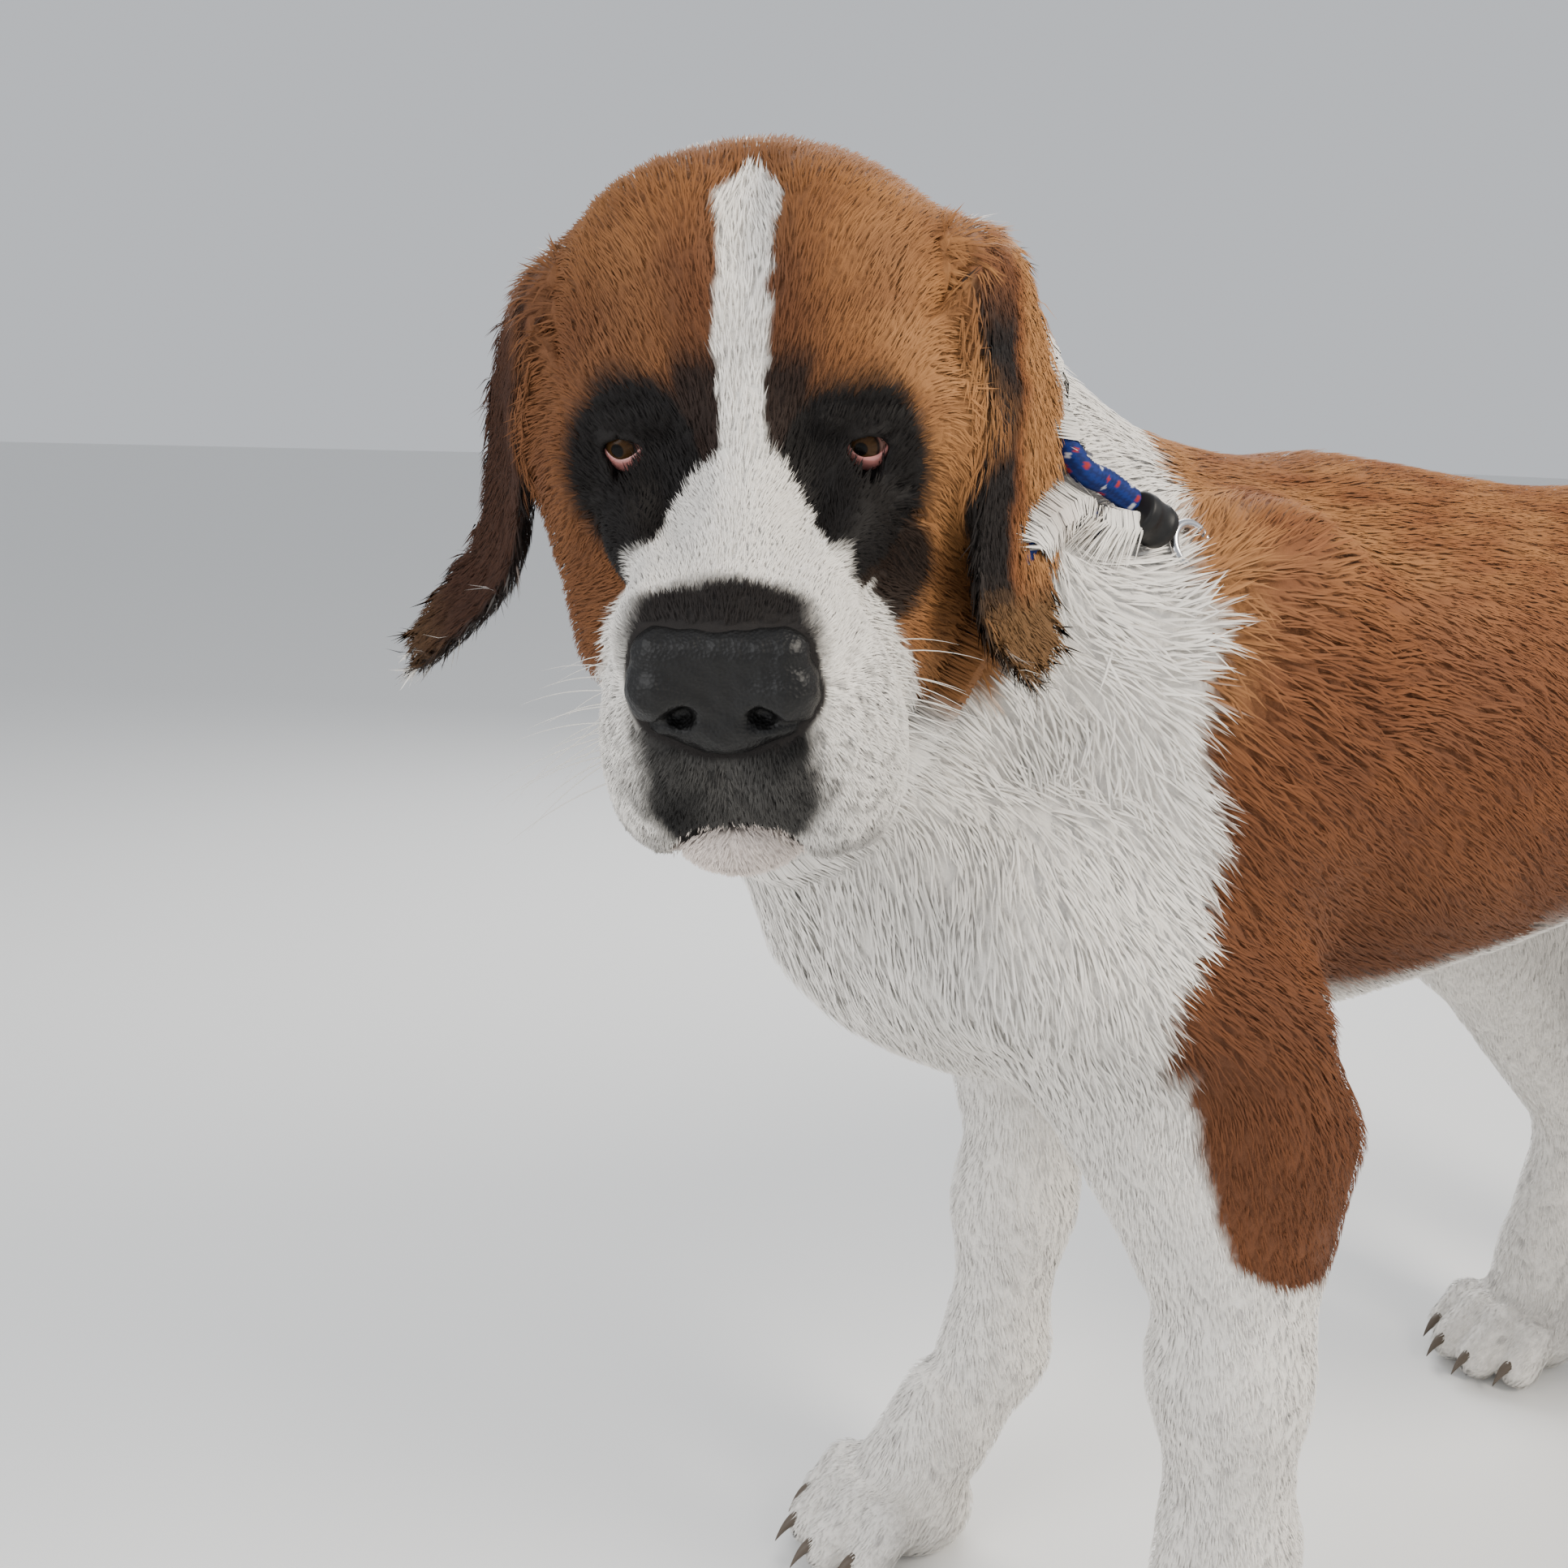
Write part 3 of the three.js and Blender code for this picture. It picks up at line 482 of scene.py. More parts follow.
# Eyes: places, and the lids round them
def eye_centre(s):
    return np.array([s * (EYE_SPREAD - EYE_RADIUS * math.sin(EYE_TURN)), -EYE_RADIUS, EYE_RISE])


def eye_axes(s):
    """Right, out and up of an eye's opening"""
    out = np.array([s * math.sin(EYE_TURN), math.cos(EYE_TURN), 0])
    return np.array([out[1], -out[0], 0]), out, np.array([0, 0, 1.0])


LIP_GAP = 2.4
MOUTH_CORNER = 12  # how far behind the eyes the lips' line ends
LID_RADIUS = 14.4
JAW_DEPTH = 3  # of the skin under the coat on the jaw
EAR_DEPTH = 2.6  # and on the ears
EYE_OPENING = join([
    (mass([-1.3, 12, -1.2], [8.8, 10.5, 5.4]), 1),
    (mass([-1.0, 13, -6.6], [6.0, 9.5, 8.2]), 4),
])
LID_FOLD = limb([-17, 9, 9.5], [15, 5.5, 6], 3.2, 3.4)
EYE_CUTS = [
    # the crease over the fold, two slack ones under the eye, and its opening
    (limb([-16, 13.5, 15.5], [17, 10, 13], 1.0, 1.0), 5),
    (limb([-14, 15.5, -17], [16, 11, -19], 0.8, 1.0), 5),
    (limb([-20, 17, -25], [20, 11, -31], 0.6, 0.8), 6),
    (EYE_OPENING, 1.2),
]


def with_details(q, d, jaw):
    """Cuts the mouth's line into the head's skin, and adds the lids and folds of the face"""
    slot = np.maximum(jaw - LIP_GAP, -(q[:, 1] + MOUTH_CORNER))
    d = -blend(-d, slot, 2.5)
    d = blend(d, jaw, 1.5)
    for _, s in SIDES:
        e = eye_centre(s)
        right, out, up = eye_axes(s)
        local = np.stack([(q - e) @ right * s, (q - e) @ out, (q - e) @ up], 1)
        lids = np.linalg.norm(local * [1, 1, 1.04], axis=1) - LID_RADIUS
        d = blend(d, lids, 7)
        d = blend(d, LID_FOLD(local), 6)
        for cut, k in EYE_CUTS:
            d = -blend(-d, cut(local), k)
    return d


def skin_field(p):
    d = flesh(p) + coat_depth(p)
    q = to_face(p).astype(np.float32)
    jaw = jaw_near(p) + JAW_DEPTH
    for ear in ears.values():
        near = ear.near(q, 160)
        if near.any():
            fold = 9 + 26 * step(q[near, 2], -60, 15)
            d[near] = blend(d[near], ear.field(q[near]) + EAR_DEPTH, fold)
    near = ((q - [0, 20, -40]) ** 2).sum(1) < 170**2
    d[near] = with_details(q[near], d[near], jaw[near])
    return d


# Surfaces of a field, as quads between the cells of a grid that it crosses
def surface(field, low, high, cell):
    axes = [np.arange(a, b + cell, cell, dtype=np.float32) for a, b in zip(low, high)]
    shape = [len(a) for a in axes]
    values = np.empty(shape, np.float32)
    for i, x in enumerate(axes[0]):
        y, z = np.meshgrid(axes[1], axes[2], indexing="ij")
        p = np.stack([np.full(y.size, x, np.float32), y.ravel(), z.ravel()], 1)
        values[i] = field(p).reshape(shape[1:])
    cells = tuple(n - 1 for n in shape)
    total = np.zeros((*cells, 3), np.float32)
    count = np.zeros(cells, np.int32)
    crossings = []
    for axis in range(3):
        u, v = [k for k in range(3) if k != axis]
        first = np.moveaxis(values, (axis, u, v), (0, 1, 2))
        a, b = first[:-1], first[1:]
        cross = (a < 0) != (b < 0)
        t = np.where(cross, a / np.where(a == b, 1, a - b), 0)
        crossings.append((cross, a < 0))
        sums = np.moveaxis(total, (axis, u, v), (0, 1, 2))
        counts = np.moveaxis(count, (axis, u, v), (0, 1, 2))
        nu, nv = cells[u], cells[v]
        for du in (0, 1):
            for dv in (0, 1):
                part = cross[:, du : du + nu, dv : dv + nv]
                sums[..., axis] += t[:, du : du + nu, dv : dv + nv]
                sums[..., u] += part * du
                sums[..., v] += part * dv
                counts += part
    used = count > 0
    index = np.full(cells, -1, np.int64)
    index[used] = np.arange(used.sum())
    places = np.argwhere(used) + total[used] / count[used][:, None]
    vertices = np.array([a[0] for a in axes]) + places * cell
    quads = []
    for axis in range(3):
        u, v = [k for k in range(3) if k != axis]
        cross, inside = crossings[axis]
        around = np.moveaxis(index, (axis, u, v), (0, 1, 2))
        inner = cross[:, 1:-1, 1:-1]
        i, j, k = np.nonzero(inner)
        corners = ((j, k), (j + 1, k), (j + 1, k + 1), (j, k + 1))
        quad = np.stack([around[i, row, column] for row, column in corners], 1)
        flip = inside[:, 1:-1, 1:-1][i, j, k] == (axis == 1)
        quad[flip] = quad[flip][:, ::-1]
        quads.append(quad)
    return vertices, np.concatenate(quads)


def settle(p, field, rounds=3, reach=2.5):
    """Moves points onto the field's surface"""
    shift = 0.5
    for _ in range(rounds):
        d = field(p)
        slope = np.stack([(field(p + shift * way) - d) / shift for way in np.eye(3, dtype=np.float32)], 1)
        pull = np.clip(d, -reach, reach) / np.maximum((slope**2).sum(1), 0.2)
        p = p - pull[:, None] * slope
    return p


def mesh_object(name, vertices, faces, smooth=True):
    """A mesh from points in the frame's metres. Faces are one array of tris or quads"""
    mesh = bpy.data.meshes.new(name)
    faces = np.asarray(faces)
    sides = faces.shape[1]
    mesh.vertices.add(len(vertices))
    mesh.vertices.foreach_set("co", np.asarray(vertices, np.float32).ravel())
    mesh.loops.add(faces.size)
    mesh.loops.foreach_set("vertex_index", faces.astype(np.int32).ravel())
    mesh.polygons.add(len(faces))
    mesh.polygons.foreach_set("loop_start", np.arange(len(faces), dtype=np.int32) * sides)
    mesh.polygons.foreach_set("use_smooth", np.full(len(faces), smooth))
    mesh.update(calc_edges=True)
    obj = bpy.data.objects.new(name, mesh)
    bpy.context.scene.collection.objects.link(obj)
    return obj


def read(items, what, kind=np.float32):
    """Rows of three numbers of a mesh's points or triangles"""
    values = np.empty(len(items) * 3, kind)
    items.foreach_get(what, values)
    return values.reshape(-1, 3)


def colour_points(obj, colours):
    attribute = obj.data.attributes.new("coat", "FLOAT_COLOR", "POINT")
    rgba = np.ones((len(colours), 4), np.float32)
    rgba[:, :3] = colours
    attribute.data.foreach_set("color", rgba.ravel())


def keep(obj, material, slot, *nodes):
    """The piece gets its material, rides on the body, and stands for the nodes; its slot is not used"""
    obj.data.materials.append(material)
    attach(obj, BODY)
    if nodes:
        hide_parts(*nodes)


# Materials
def shader(name, roughness, base=(0.5, 0.5, 0.5), **sockets):
    material = bpy.data.materials.new(name)
    material.use_nodes = True
    principled = material.node_tree.nodes["Principled BSDF"]
    principled.inputs["Base Color"].default_value = (*base, 1)
    principled.inputs["Roughness"].default_value = roughness
    for socket, value in sockets.items():
        principled.inputs[socket.replace("_", " ")].default_value = value
    return material, material.node_tree.nodes, material.node_tree.links, principled


def bump(nodes, links, principled, height, strength, distance):
    node = nodes.new("ShaderNodeBump")
    node.inputs["Strength"].default_value = strength
    node.inputs["Distance"].default_value = distance
    links.new(height, node.inputs["Height"])
    links.new(node.outputs["Normal"], principled.inputs["Normal"])


def noise(nodes, links, scale, detail):
    place = nodes.new("ShaderNodeTexCoord")
    node = nodes.new("ShaderNodeTexNoise")
    node.inputs["Scale"].default_value = scale
    node.inputs["Detail"].default_value = detail
    links.new(place.outputs["Object"], node.inputs["Vector"])
    return node


def grained(name, roughness, scale, detail, strength, depth, **sockets):
    """A plain material with a fine bump of noise"""
    material, nodes, links, principled = shader(name, roughness, **sockets)
    grain = noise(nodes, links, scale, detail)
    bump(nodes, links, principled, grain.outputs["Fac"], strength, depth)
    return material


def from_points(name, roughness, grain, depth, **sockets):
    """A material that takes its colour from the mesh's own points, a little mottled"""
    material, nodes, links, principled = shader(name, roughness, **sockets)
    colour = nodes.new("ShaderNodeAttribute")
    colour.attribute_name = "coat"
    grains = noise(nodes, links, grain, 4)
    shade = nodes.new("ShaderNodeMapRange")
    shade.inputs["To Min"].default_value = 0.88
    shade.inputs["To Max"].default_value = 1.1
    links.new(grains.outputs["Fac"], shade.inputs["Value"])
    mix = nodes.new("ShaderNodeVectorMath")
    mix.operation = "SCALE"
    links.new(colour.outputs["Color"], mix.inputs[0])
    links.new(shade.outputs["Result"], mix.inputs["Scale"])
    links.new(mix.outputs["Vector"], principled.inputs["Base Color"])
    if depth:
        bump(nodes, links, principled, grains.outputs["Fac"], 0.5, depth)
    return material


skin_material = from_points("skin", 0.75, 420, 0.0012, Specular_IOR_Level=0.25)
coat_material = from_points("coat", 0.65, 60, 0, Specular_IOR_Level=0.16)

# Colours of the coat, as linear light. The gold is painted sunlight on the rust, and the mahogany is the
# coat's own dark brown in some places and painted shade in others
WHITE = np.array([0.84, 0.80, 0.74])
RUST = np.array([0.20, 0.074, 0.027])
# painted sunlight: the rust as it looks in the sun
SUNLIT_GOLD = np.array([0.43, 0.205, 0.075])
TAN = np.array([0.26, 0.110, 0.038])
# the coat's own dark brown beside the blaze and in streaks, and painted shade on the flanks, elbows, one side
# of the forehead and the right ear
MAHOGANY_AND_SHADE = np.array([0.10, 0.036, 0.016])
BLACK = np.array([0.008, 0.0065, 0.006])
VELVET = np.array([0.15, 0.078, 0.032])
GREY = np.array([0.16, 0.15, 0.145])
CHIN_PINK = WHITE * np.array([0.9, 0.78, 0.75])


def paint(base, *coats):
    """Lays colours, or ways, over one another, each by its share from 0 to 1"""
    for colour, share in zip(coats[::2], coats[1::2]):
        base = base + (colour - base) * np.clip(share, 0, 1)[:, None]
    return base


def spread(count, *values):
    """Rows of three numbers, each one value or a value for every row"""
    return np.stack([np.broadcast_to(value, count) for value in values], 1)


# The white of the face: heights from the eyes, and half its breadth at each
WHITE_REACH = ((-126, -88, -76, -62, -31, -18, 0, 12, 32, 46, 67, 80, 98, 108),
               (72, 67, 64, 57, 41, 29, 15.5, 8.5, 8, 10.5, 12, 13, 14, -4))


# The edge of the rust on the shoulder: heights, and how far back it lies at each
SHOULDER_EDGE = ((300, 450, 490, 545, 583, 635, 656, 692, 720), (-60, -86, -76, -73, -80, -71, -66, -52, -40))


def body_colour(p, edge, streak):
    x, y, z = p.T
    fore = y < 200
    # the trunk: rust behind a slanting edge on the shoulder, white underneath; painted shade in mahogany low
    # on the flanks and at the elbows, painted sunlight in gold along the back and at the front edge by the
    # withers
    front = np.interp(z, *SHOULDER_EDGE)
    saddle = step(y - front + edge, -4, 6)
    under = step(z + edge, 452, 436) * step(np.abs(x), 92, 70) * step(y, -40, 20)
    back = paint(
        spread(len(p), *RUST),
        MAHOGANY_AND_SHADE, (0.4 + 0.25 * streak) * step(z, 670, 560),
        SUNLIT_GOLD, 0.45 * (1 - streak) * step(z, 600, 680),
        SUNLIT_GOLD, 0.5 * step(y - front, 40, 8) * step(z, 560, 620),
        MAHOGANY_AND_SHADE, 0.45 * step(z, 480, 420) * fore)
    # the legs: white but for an elbow patch and the thighs
    patch_front = np.interp(z, [294, 301, 313, 336, 378, 420], [10, -22, -43, -58, -65, -70])
    leg_white = np.maximum.reduce([
        step(z + edge * 0.8, 303, 293) * fore,
        step(z, 400, 380) * step(np.abs(x) + edge * 0.5, 128, 116) * fore,
        step(z, 420, 400) * step(y - patch_front + edge * 0.5, 4, -4) * fore,
        step(z + edge, 372, 350) * (x < 0) * fore,
        step(z + edge - (y - 420) * 0.22, 318, 292) * (y > 200) * (y < 640),
        step(y + edge - (420 - (z - 350) * 0.3), 4, -8) * step(z, 470, 400) * (y > 200),
    ])
    tail_white = step(z + edge, 330, 300) * (y > 600)
    rust = saddle * (1 - under) * (1 - leg_white) * (1 - tail_white)
    colour = WHITE * (1 - rust[:, None]) + back * rust[:, None]
    ticks = (waves(p, 9, 4) > 1.05) & (z < 300) & (z > 30)
    return paint(colour, GREY * 2.2, ticks * 0.5 * (1 - rust))


def head_colour(colour, q, edge, streak):
    """Lays the head's markings over the body's colour, with painted shade on the forehead's right side and
    painted sunlight on its left
    """
    s, f, u = q.T
    at_side = step(np.abs(s) + edge * 0.5, 114, 103)
    by_ear = step(f, -75, -60) * step(u, -60, -40)
    head = head_share(q) * step(f + edge * 1.3 - (u + 30) * 0.2 + 22 * step(u, 60, 100), -128, -112)
    head = head * (1 - step(u + edge, -118, -140) * step(f, 60, 20)) * np.maximum(at_side, by_ear)
    wobble = waves(q, 30, 5) * 2.2 + waves(q, 9, 6) * 1.2
    side_x = np.abs(s) + wobble
    # the forehead: tan, its own mahogany beside the blaze and in streaks, painted shade in mahogany on its
    # right side, painted sunlight in gold on its left
    forehead = paint(
        spread(len(q), *TAN),
        MAHOGANY_AND_SHADE, 0.8 * step(side_x, 48, 16) * step(u, 125, 60),
        MAHOGANY_AND_SHADE, 0.35 * streak,
        MAHOGANY_AND_SHADE, 0.6 * step(-s, 10, 60) * step(u, 95, 50),
        SUNLIT_GOLD, 0.4 * (1 - streak) * step(s, 30, 80))
    # the mask: round the eyes, down the left cheek, and beside the blaze
    round_eye = step(np.hypot((np.abs(s) - 44) / 34, (u + 5 + wobble) / 42), 1.12, 0.82) * step(f, -62, -30)
    below = step(np.hypot((np.abs(s) - 56) / 22, (u + 46 + wobble) / 26), 1.15, 0.8)
    below = below * step(f, -50, -20) * (s > 0)
    inner = step(side_x, 34, 24) * step(u, 52, 34) * step(u, -30, -10)
    face = paint(forehead, BLACK, np.maximum.reduce([round_eye, below * 0.95, inner * 0.9]))
    # the blaze and muzzle
    reach = np.interp(u, *WHITE_REACH)
    behind = np.interp(u, [-130, -60, 0, 20], [-25, -8, -20, -200])
    white = step(side_x - reach, 1.5, -1.5) * step(f + wobble * 2 - behind, -3, 3)
    white = np.maximum(white, step(f + wobble, 34, 43) * step(u, 0, -12))
    colour = paint(colour, paint(face, WHITE, white), head)
    # dark hairs round the nose, grey ones on the lips
    exact = q.astype(np.float32)
    jaw = jaw_field(exact)
    over_nose = step(np.hypot(s / 46, (f - 116) / 34) + wobble * 0.03, 1.1, 0.75) * step(u, -62, -42)
    by_nose = step(join(NOSE_FORM)(exact) + wobble * 0.4, 4.2, 1.8) * step(f, 70, 80)
    breadth = np.interp(u, [-128, -112, -98, -60], [18, 34, 41, 41])
    under_nose = step(np.abs(s) / breadth + wobble * 0.03, 1.12, 0.72) * step(f, 82, 94)
    under_nose = under_nose * step(u, -60, -68) * step(u, -130, -122) * step(jaw, 1, 3)
    lips = step(u + wobble, -122, -130) * step(f, 20, 34) * step(np.abs(s), 62, 54) * step(jaw, 2, 5)
    chin = step(jaw, 3, 0.5) * step(f, 30, 50)
    speck = step(waves(q, 5.5, 7), 0.2, 0.7) * step(f, 30, 60) * step(u, -20, -70) * 0.5
    return paint(
        colour,
        CHIN_PINK, chin * 0.7,
        GREY * 0.7, speck * head * (1 - chin),
        GREY * 0.05, under_nose * (0.93 + 0.07 * streak) * head,
        BLACK * 1.6, np.maximum(over_nose, by_nose) * head,
        GREY * 0.5, lips * 0.5)


def leaf_colour(name, ear, q):
    """An ear's colours, with painted shade on the side to the cheek, along the left ear's front edge and over
    the whole right ear, and painted sunlight in gold on the left ear, and how far they cover the points
    """
    i, across, off, _ = ear.place(q)
    along = i / EAR_STEPS
    patch = waves(q, 22, 8)
    leaf = spread(len(q), *BLACK * 2.2)
    if name == "left":
        # painted shade, near black, along the front edge, rust behind it, painted sunlight in gold on its
        # rear part above the lobe, and a velvet lobe
        rear = step(across + patch * 3, 7, -3)
        leaf = paint(
            leaf,
            RUST, np.maximum(rear, 0.8 * step(along, 0.3, 0.12)),
            SUNLIT_GOLD, 0.75 * step(across + patch * 4, 0, -16) * step(along, 0.85, 0.7),
            VELVET, step(along, 0.74, 0.84))
    else:
        # painted shade: the right ear in darker copies of its colours
        leaf = paint(
            leaf,
            MAHOGANY_AND_SHADE * 0.7, 0.6 + 0 * along,
            RUST * 0.8, 0.45 * step(along + patch * 0.03, 0.3, 0.1),
            VELVET * 0.6, 0.7 * step(along, 0.78, 0.92))
    # painted shade: near black on the inner side, toward the cheek
    outside = step(off, 1, -2)
    leaf = paint(leaf, BLACK * 2, (1 - outside) * 0.9)
    return leaf, step(ear.field(q), 3.5, 1) * (i > 2) * step(along, 0.03, 0.14)


def coat_colour(p, with_ears=True):
    """The markings: white blaze, muzzle, neck, chest, legs and tail tip, a dark mask, and rust elsewhere,
    with painted shade and painted sunlight laid on the rust and the ears
    """
    q = to_face(p)
    edge = waves(p, 60, 1) * 7 + waves(p, 19, 2) * 3.5
    streak = waves(p * [1, 0.25, 1], 16, 3) * 0.5 + 0.5
    colour = body_colour(p, edge, streak)
    colour = head_colour(colour, q, edge, streak)
    for name, ear in ears.items():
        near = ear.near(q)
        if with_ears and near.any():
            leaf, share = leaf_colour(name, ear, q[near])
            colour[near] = paint(colour[near], leaf, share)
    return np.maximum(colour, 0.004)


# The skin
SKIN_MARGIN = 12  # of the grid round the solids
SKIN_CELL = 5.0
FINER_FACE = (((0, 0, -20), 190), ((0, 20, -20), 120))  # middles and radii within which the cells are halved


def fine_skin():
    low = (np.array(cad_box[0]) - SHIFT) * 1000 - SKIN_MARGIN
    high = (np.array(cad_box[1]) - SHIFT) * 1000 + SKIN_MARGIN
    vertices, quads = surface(skin_field, low, high, SKIN_CELL)
    obj = mesh_object("skin", vertices, quads)
    mesh = bmesh.new()
    mesh.from_mesh(obj.data)
    largest_body(mesh)
    for centre, radius in FINER_FACE:
        middle = Vector(from_face(centre))
        edges = [e for e in mesh.edges if all((v.co - middle).length < radius for v in e.verts)]
        bmesh.ops.subdivide_edges(mesh, edges=edges, cuts=1, use_grid_fill=True)
        move_onto(mesh, 2)
    bmesh.ops.triangulate(mesh, faces=mesh.faces)
    move_onto(mesh, 2)
    bmesh.ops.recalc_face_normals(mesh, faces=mesh.faces)
    mesh.to_mesh(obj.data)
    mesh.free()
    return obj


def largest_body(mesh):
    """Drops every scrap but the largest closed surface"""
    mesh.verts.ensure_lookup_table()
    seen = set()
    bodies = []
    for start in mesh.verts:
        if start in seen:
            continue
        body, front = [start], [start]
        seen.add(start)
        while front:
            v = front.pop()
            for e in v.link_edges:
                w = e.other_vert(v)
                if w not in seen:
                    seen.add(w)
                    body.append(w)
                    front.append(w)
        bodies.append(body)
    bodies.sort(key=len)
    scraps = [v for body in bodies[:-1] for v in body]
    if scraps:
        bmesh.ops.delete(mesh, geom=scraps, context="VERTS")


def move_onto(mesh, rounds):
    p = np.array([v.co for v in mesh.verts], np.float32)
    p = settle(p, skin_field, rounds)
    for v, co in zip(mesh.verts, p):
        v.co = co


def make_skin():
    obj = fine_skin()
    p = read(obj.data.vertices, "co")
    colours = coat_colour(p) * 0.97
    q = to_face(p)
    for _, s in SIDES:
        e = eye_centre(s)
        rim = step(np.linalg.norm((q - e - [0, 9, -2]) / [1, 1, 1.05], axis=1), 14, 11.5)
        colours = paint(colours, BLACK * 1.2, rim)
    exact = q.astype(np.float32)
    mouth = step(jaw_field(exact), 5.5, 3.5) * step(q[:, 1], 0, 20) * step(q[:, 2], -140, -128)
    colours = paint(colours, BLACK * 1.5, mouth * step(head_flesh(exact), 2, -1))
    colour_points(obj, colours)
    obj.data.vertices.foreach_set("co", to_frame(p).astype(np.float32).ravel())
    obj.data.update()
    paired = ("ear", "thigh", "shank", "foreleg", "forepaw", "hindpaw")
    halves = [f"{part}_{side}" for part in paired for side, _ in SIDES]
    keep(obj, skin_material, "rust_coat", "head", "neck", "torso", "tail", *halves)
    return obj, p


skin, skin_points = make_skin()


# The coat's lie: which way the hair runs
def lie(p):
    q = to_face(p)
    x, y, z = p.T
    count = len(p)
    tail_way = unit(np.gradient(TAIL, axis=0))
    near_tail = ((p[:, None, :] - TAIL) ** 2).sum(2).argmin(1)
    neck, leg, foot = np.array([[-0.05, 0.75, -0.75], [0, 0.22, -1], [0, -0.8, -0.6]])
    chest = spread(count, np.sign(x) * 0.1, 0.25, -1)
    way = paint(
        spread(count, 0, 1, -0.25 - 0.5 * step(np.abs(x), 60, 130)),
        neck, step(y, 0, -90),
        chest, step(y, -90, -150) * step(z, 620, 520),
        leg, step(z, 450, 380),
        foot, step(z, 80, 45),
        tail_way[near_tail], step(y, 575, 600) * step(z, 120, 160))
    # the head: back from the nose, up over the brow, back over the crown, down the cheeks
    s, f, u = q.T
    cheek = spread(count, np.sign(s) * 0.15, -1, -0.75)
    flow = paint(
        spread(count, s * 0.012, -1, 0.35),
        spread(count, s * 0.012, -0.35, 1), step(f, 26, 8),
        spread(count, s * 0.006, -1, -0.1), step(u, 60, 105),
        cheek, step(u, 5, -35) * step(f, 60, 20),
        cheek, step(np.abs(s), 62, 84),
        spread(count, np.sign(s) * 0.25, -0.6, -1), step(u, -45, -70) * step(f, 10, 40))
    for ear in ears.values():
        near = ear.near(q)
        if near.any():
            i, across, _, _ = ear.place(q[near])
            on = step(ear.field(q[near]), 8, 3)
            down = ear.along[i] + ear.forward[i] * (across / 90)[:, None]
            flow[near] = paint(flow[near], down, on * step(i / EAR_STEPS, 0.0, 0.15))
    return unit(paint(way, flow @ FACE, head_share(q)))


# Collar: a braided rope, its keeper and ring
COLLAR_CENTRE = np.array([0.0, -160.0, 650.0])
COLLAR_AXIS = unit([0.2, -0.88, 0.43])
COLLAR_UP = unit(np.array([0, 0, 1]) - COLLAR_AXIS * COLLAR_AXIS[2])
COLLAR_SIDE = np.cross(COLLAR_UP, COLLAR_AXIS)
ROPE_RADIUS = 6.2
ROPE_SINK = 4
THROAT_SINK = 4.5  # deeper than that at the throat
KEEPER_ANGLE = 71  # degrees from the nape to the dog's left
KEEPER_PULL = 62  # how far back along the neck the keeper lies
COLLAR_LIFT = 38  # how far ahead of its centre the loop lies
STRAND_APART = 4.5  # degrees from the keeper to each strand
ROPE_PITCH = 20  # length in which a strand goes once round


def rope_centre(degrees, pull, sink):
    """A point of the rope's middle line, so deep in the coat, in a plane pulled back from the collar's"""
    origin = COLLAR_CENTRE + COLLAR_AXIS * (COLLAR_LIFT - pull)
    out = COLLAR_UP * math.cos(math.radians(degrees)) + COLLAR_SIDE * math.sin(math.radians(degrees))
    reach = np.arange(0, 260, 1.0)
    inside = collar_seat((origin + out * reach[:, None]).astype(np.float32)) < 0
    first = int(np.argmin(inside))
    near, far = reach[first - 1], reach[first]
    for _ in range(10):
        middle = (near + far) / 2
        if collar_seat((origin + out * middle)[None].astype(np.float32))[0] < 0:
            near = middle
        else:
            far = middle
    return origin + out * (near + ROPE_RADIUS - sink)


ROPE_TIP = rope_centre(KEEPER_ANGLE, KEEPER_PULL, -1)


def rope_line():
    turns = np.arange(15, 346, 10)
    sinks = ROPE_SINK + THROAT_SINK * step(turns, 15, 55) * step(turns, 235, 195)
    points = [rope_centre(KEEPER_ANGLE + turn, 4, sink) for turn, sink in zip(turns, sinks)]
    upper, lower = KEEPER_ANGLE - STRAND_APART, KEEPER_ANGLE + STRAND_APART
    points += [rope_centre(upper, share * KEEPER_PULL, 0) for share in (0.3, 0.6)]
    points.append(ROPE_TIP)
    points += [rope_centre(lower, share * KEEPER_PULL, ROPE_SINK) for share in (0.6, 0.3)]
    ring = np.array(points)
    padded = np.concatenate([ring[-3:], ring, ring[:3]])
    count, lap = 4000, 600  # points of the line, and those at each end in which it laps over itself
    line, _ = spline(padded, count)
    start = np.linalg.norm(line[:lap] - ring[0], axis=1).argmin()
    stop = count - lap + np.linalg.norm(line[count - lap :] - ring[0], axis=1).argmin()
    return line[start:stop]


ROPE_LINE = rope_line()


def shown_strand():
    """Where the rope lies open on the coat: the strand that comes from behind the left ear to the keeper"""
    to_tip = np.linalg.norm(ROPE_LINE - ROPE_TIP, axis=1)
    before = np.arange(len(ROPE_LINE)) <= to_tip.argmin()
    return (before & (to_tip < 50)) | (to_tip < 13)


SHOWN = shown_strand()


def by_strand(p, reach):
    """Whether points lie within a reach of the open strand and its keeper"""
    strand = ROPE_LINE[SHOWN][::8]
    near = np.linalg.norm(p - strand.mean(0), axis=1) < 80
    close = np.zeros(len(p), bool)
    rows = np.nonzero(near)[0]
    if len(rows):
        close[rows] = ((p[rows][:, None] - strand) ** 2).sum(2).min(1) < reach**2
    return close


# How long and how dense the tufts are
EAR_HAIR = 9
EAR_EDGE = 7  # breadth of the ears' edge, where the hair is longer
EAR_EDGE_HAIR = 14


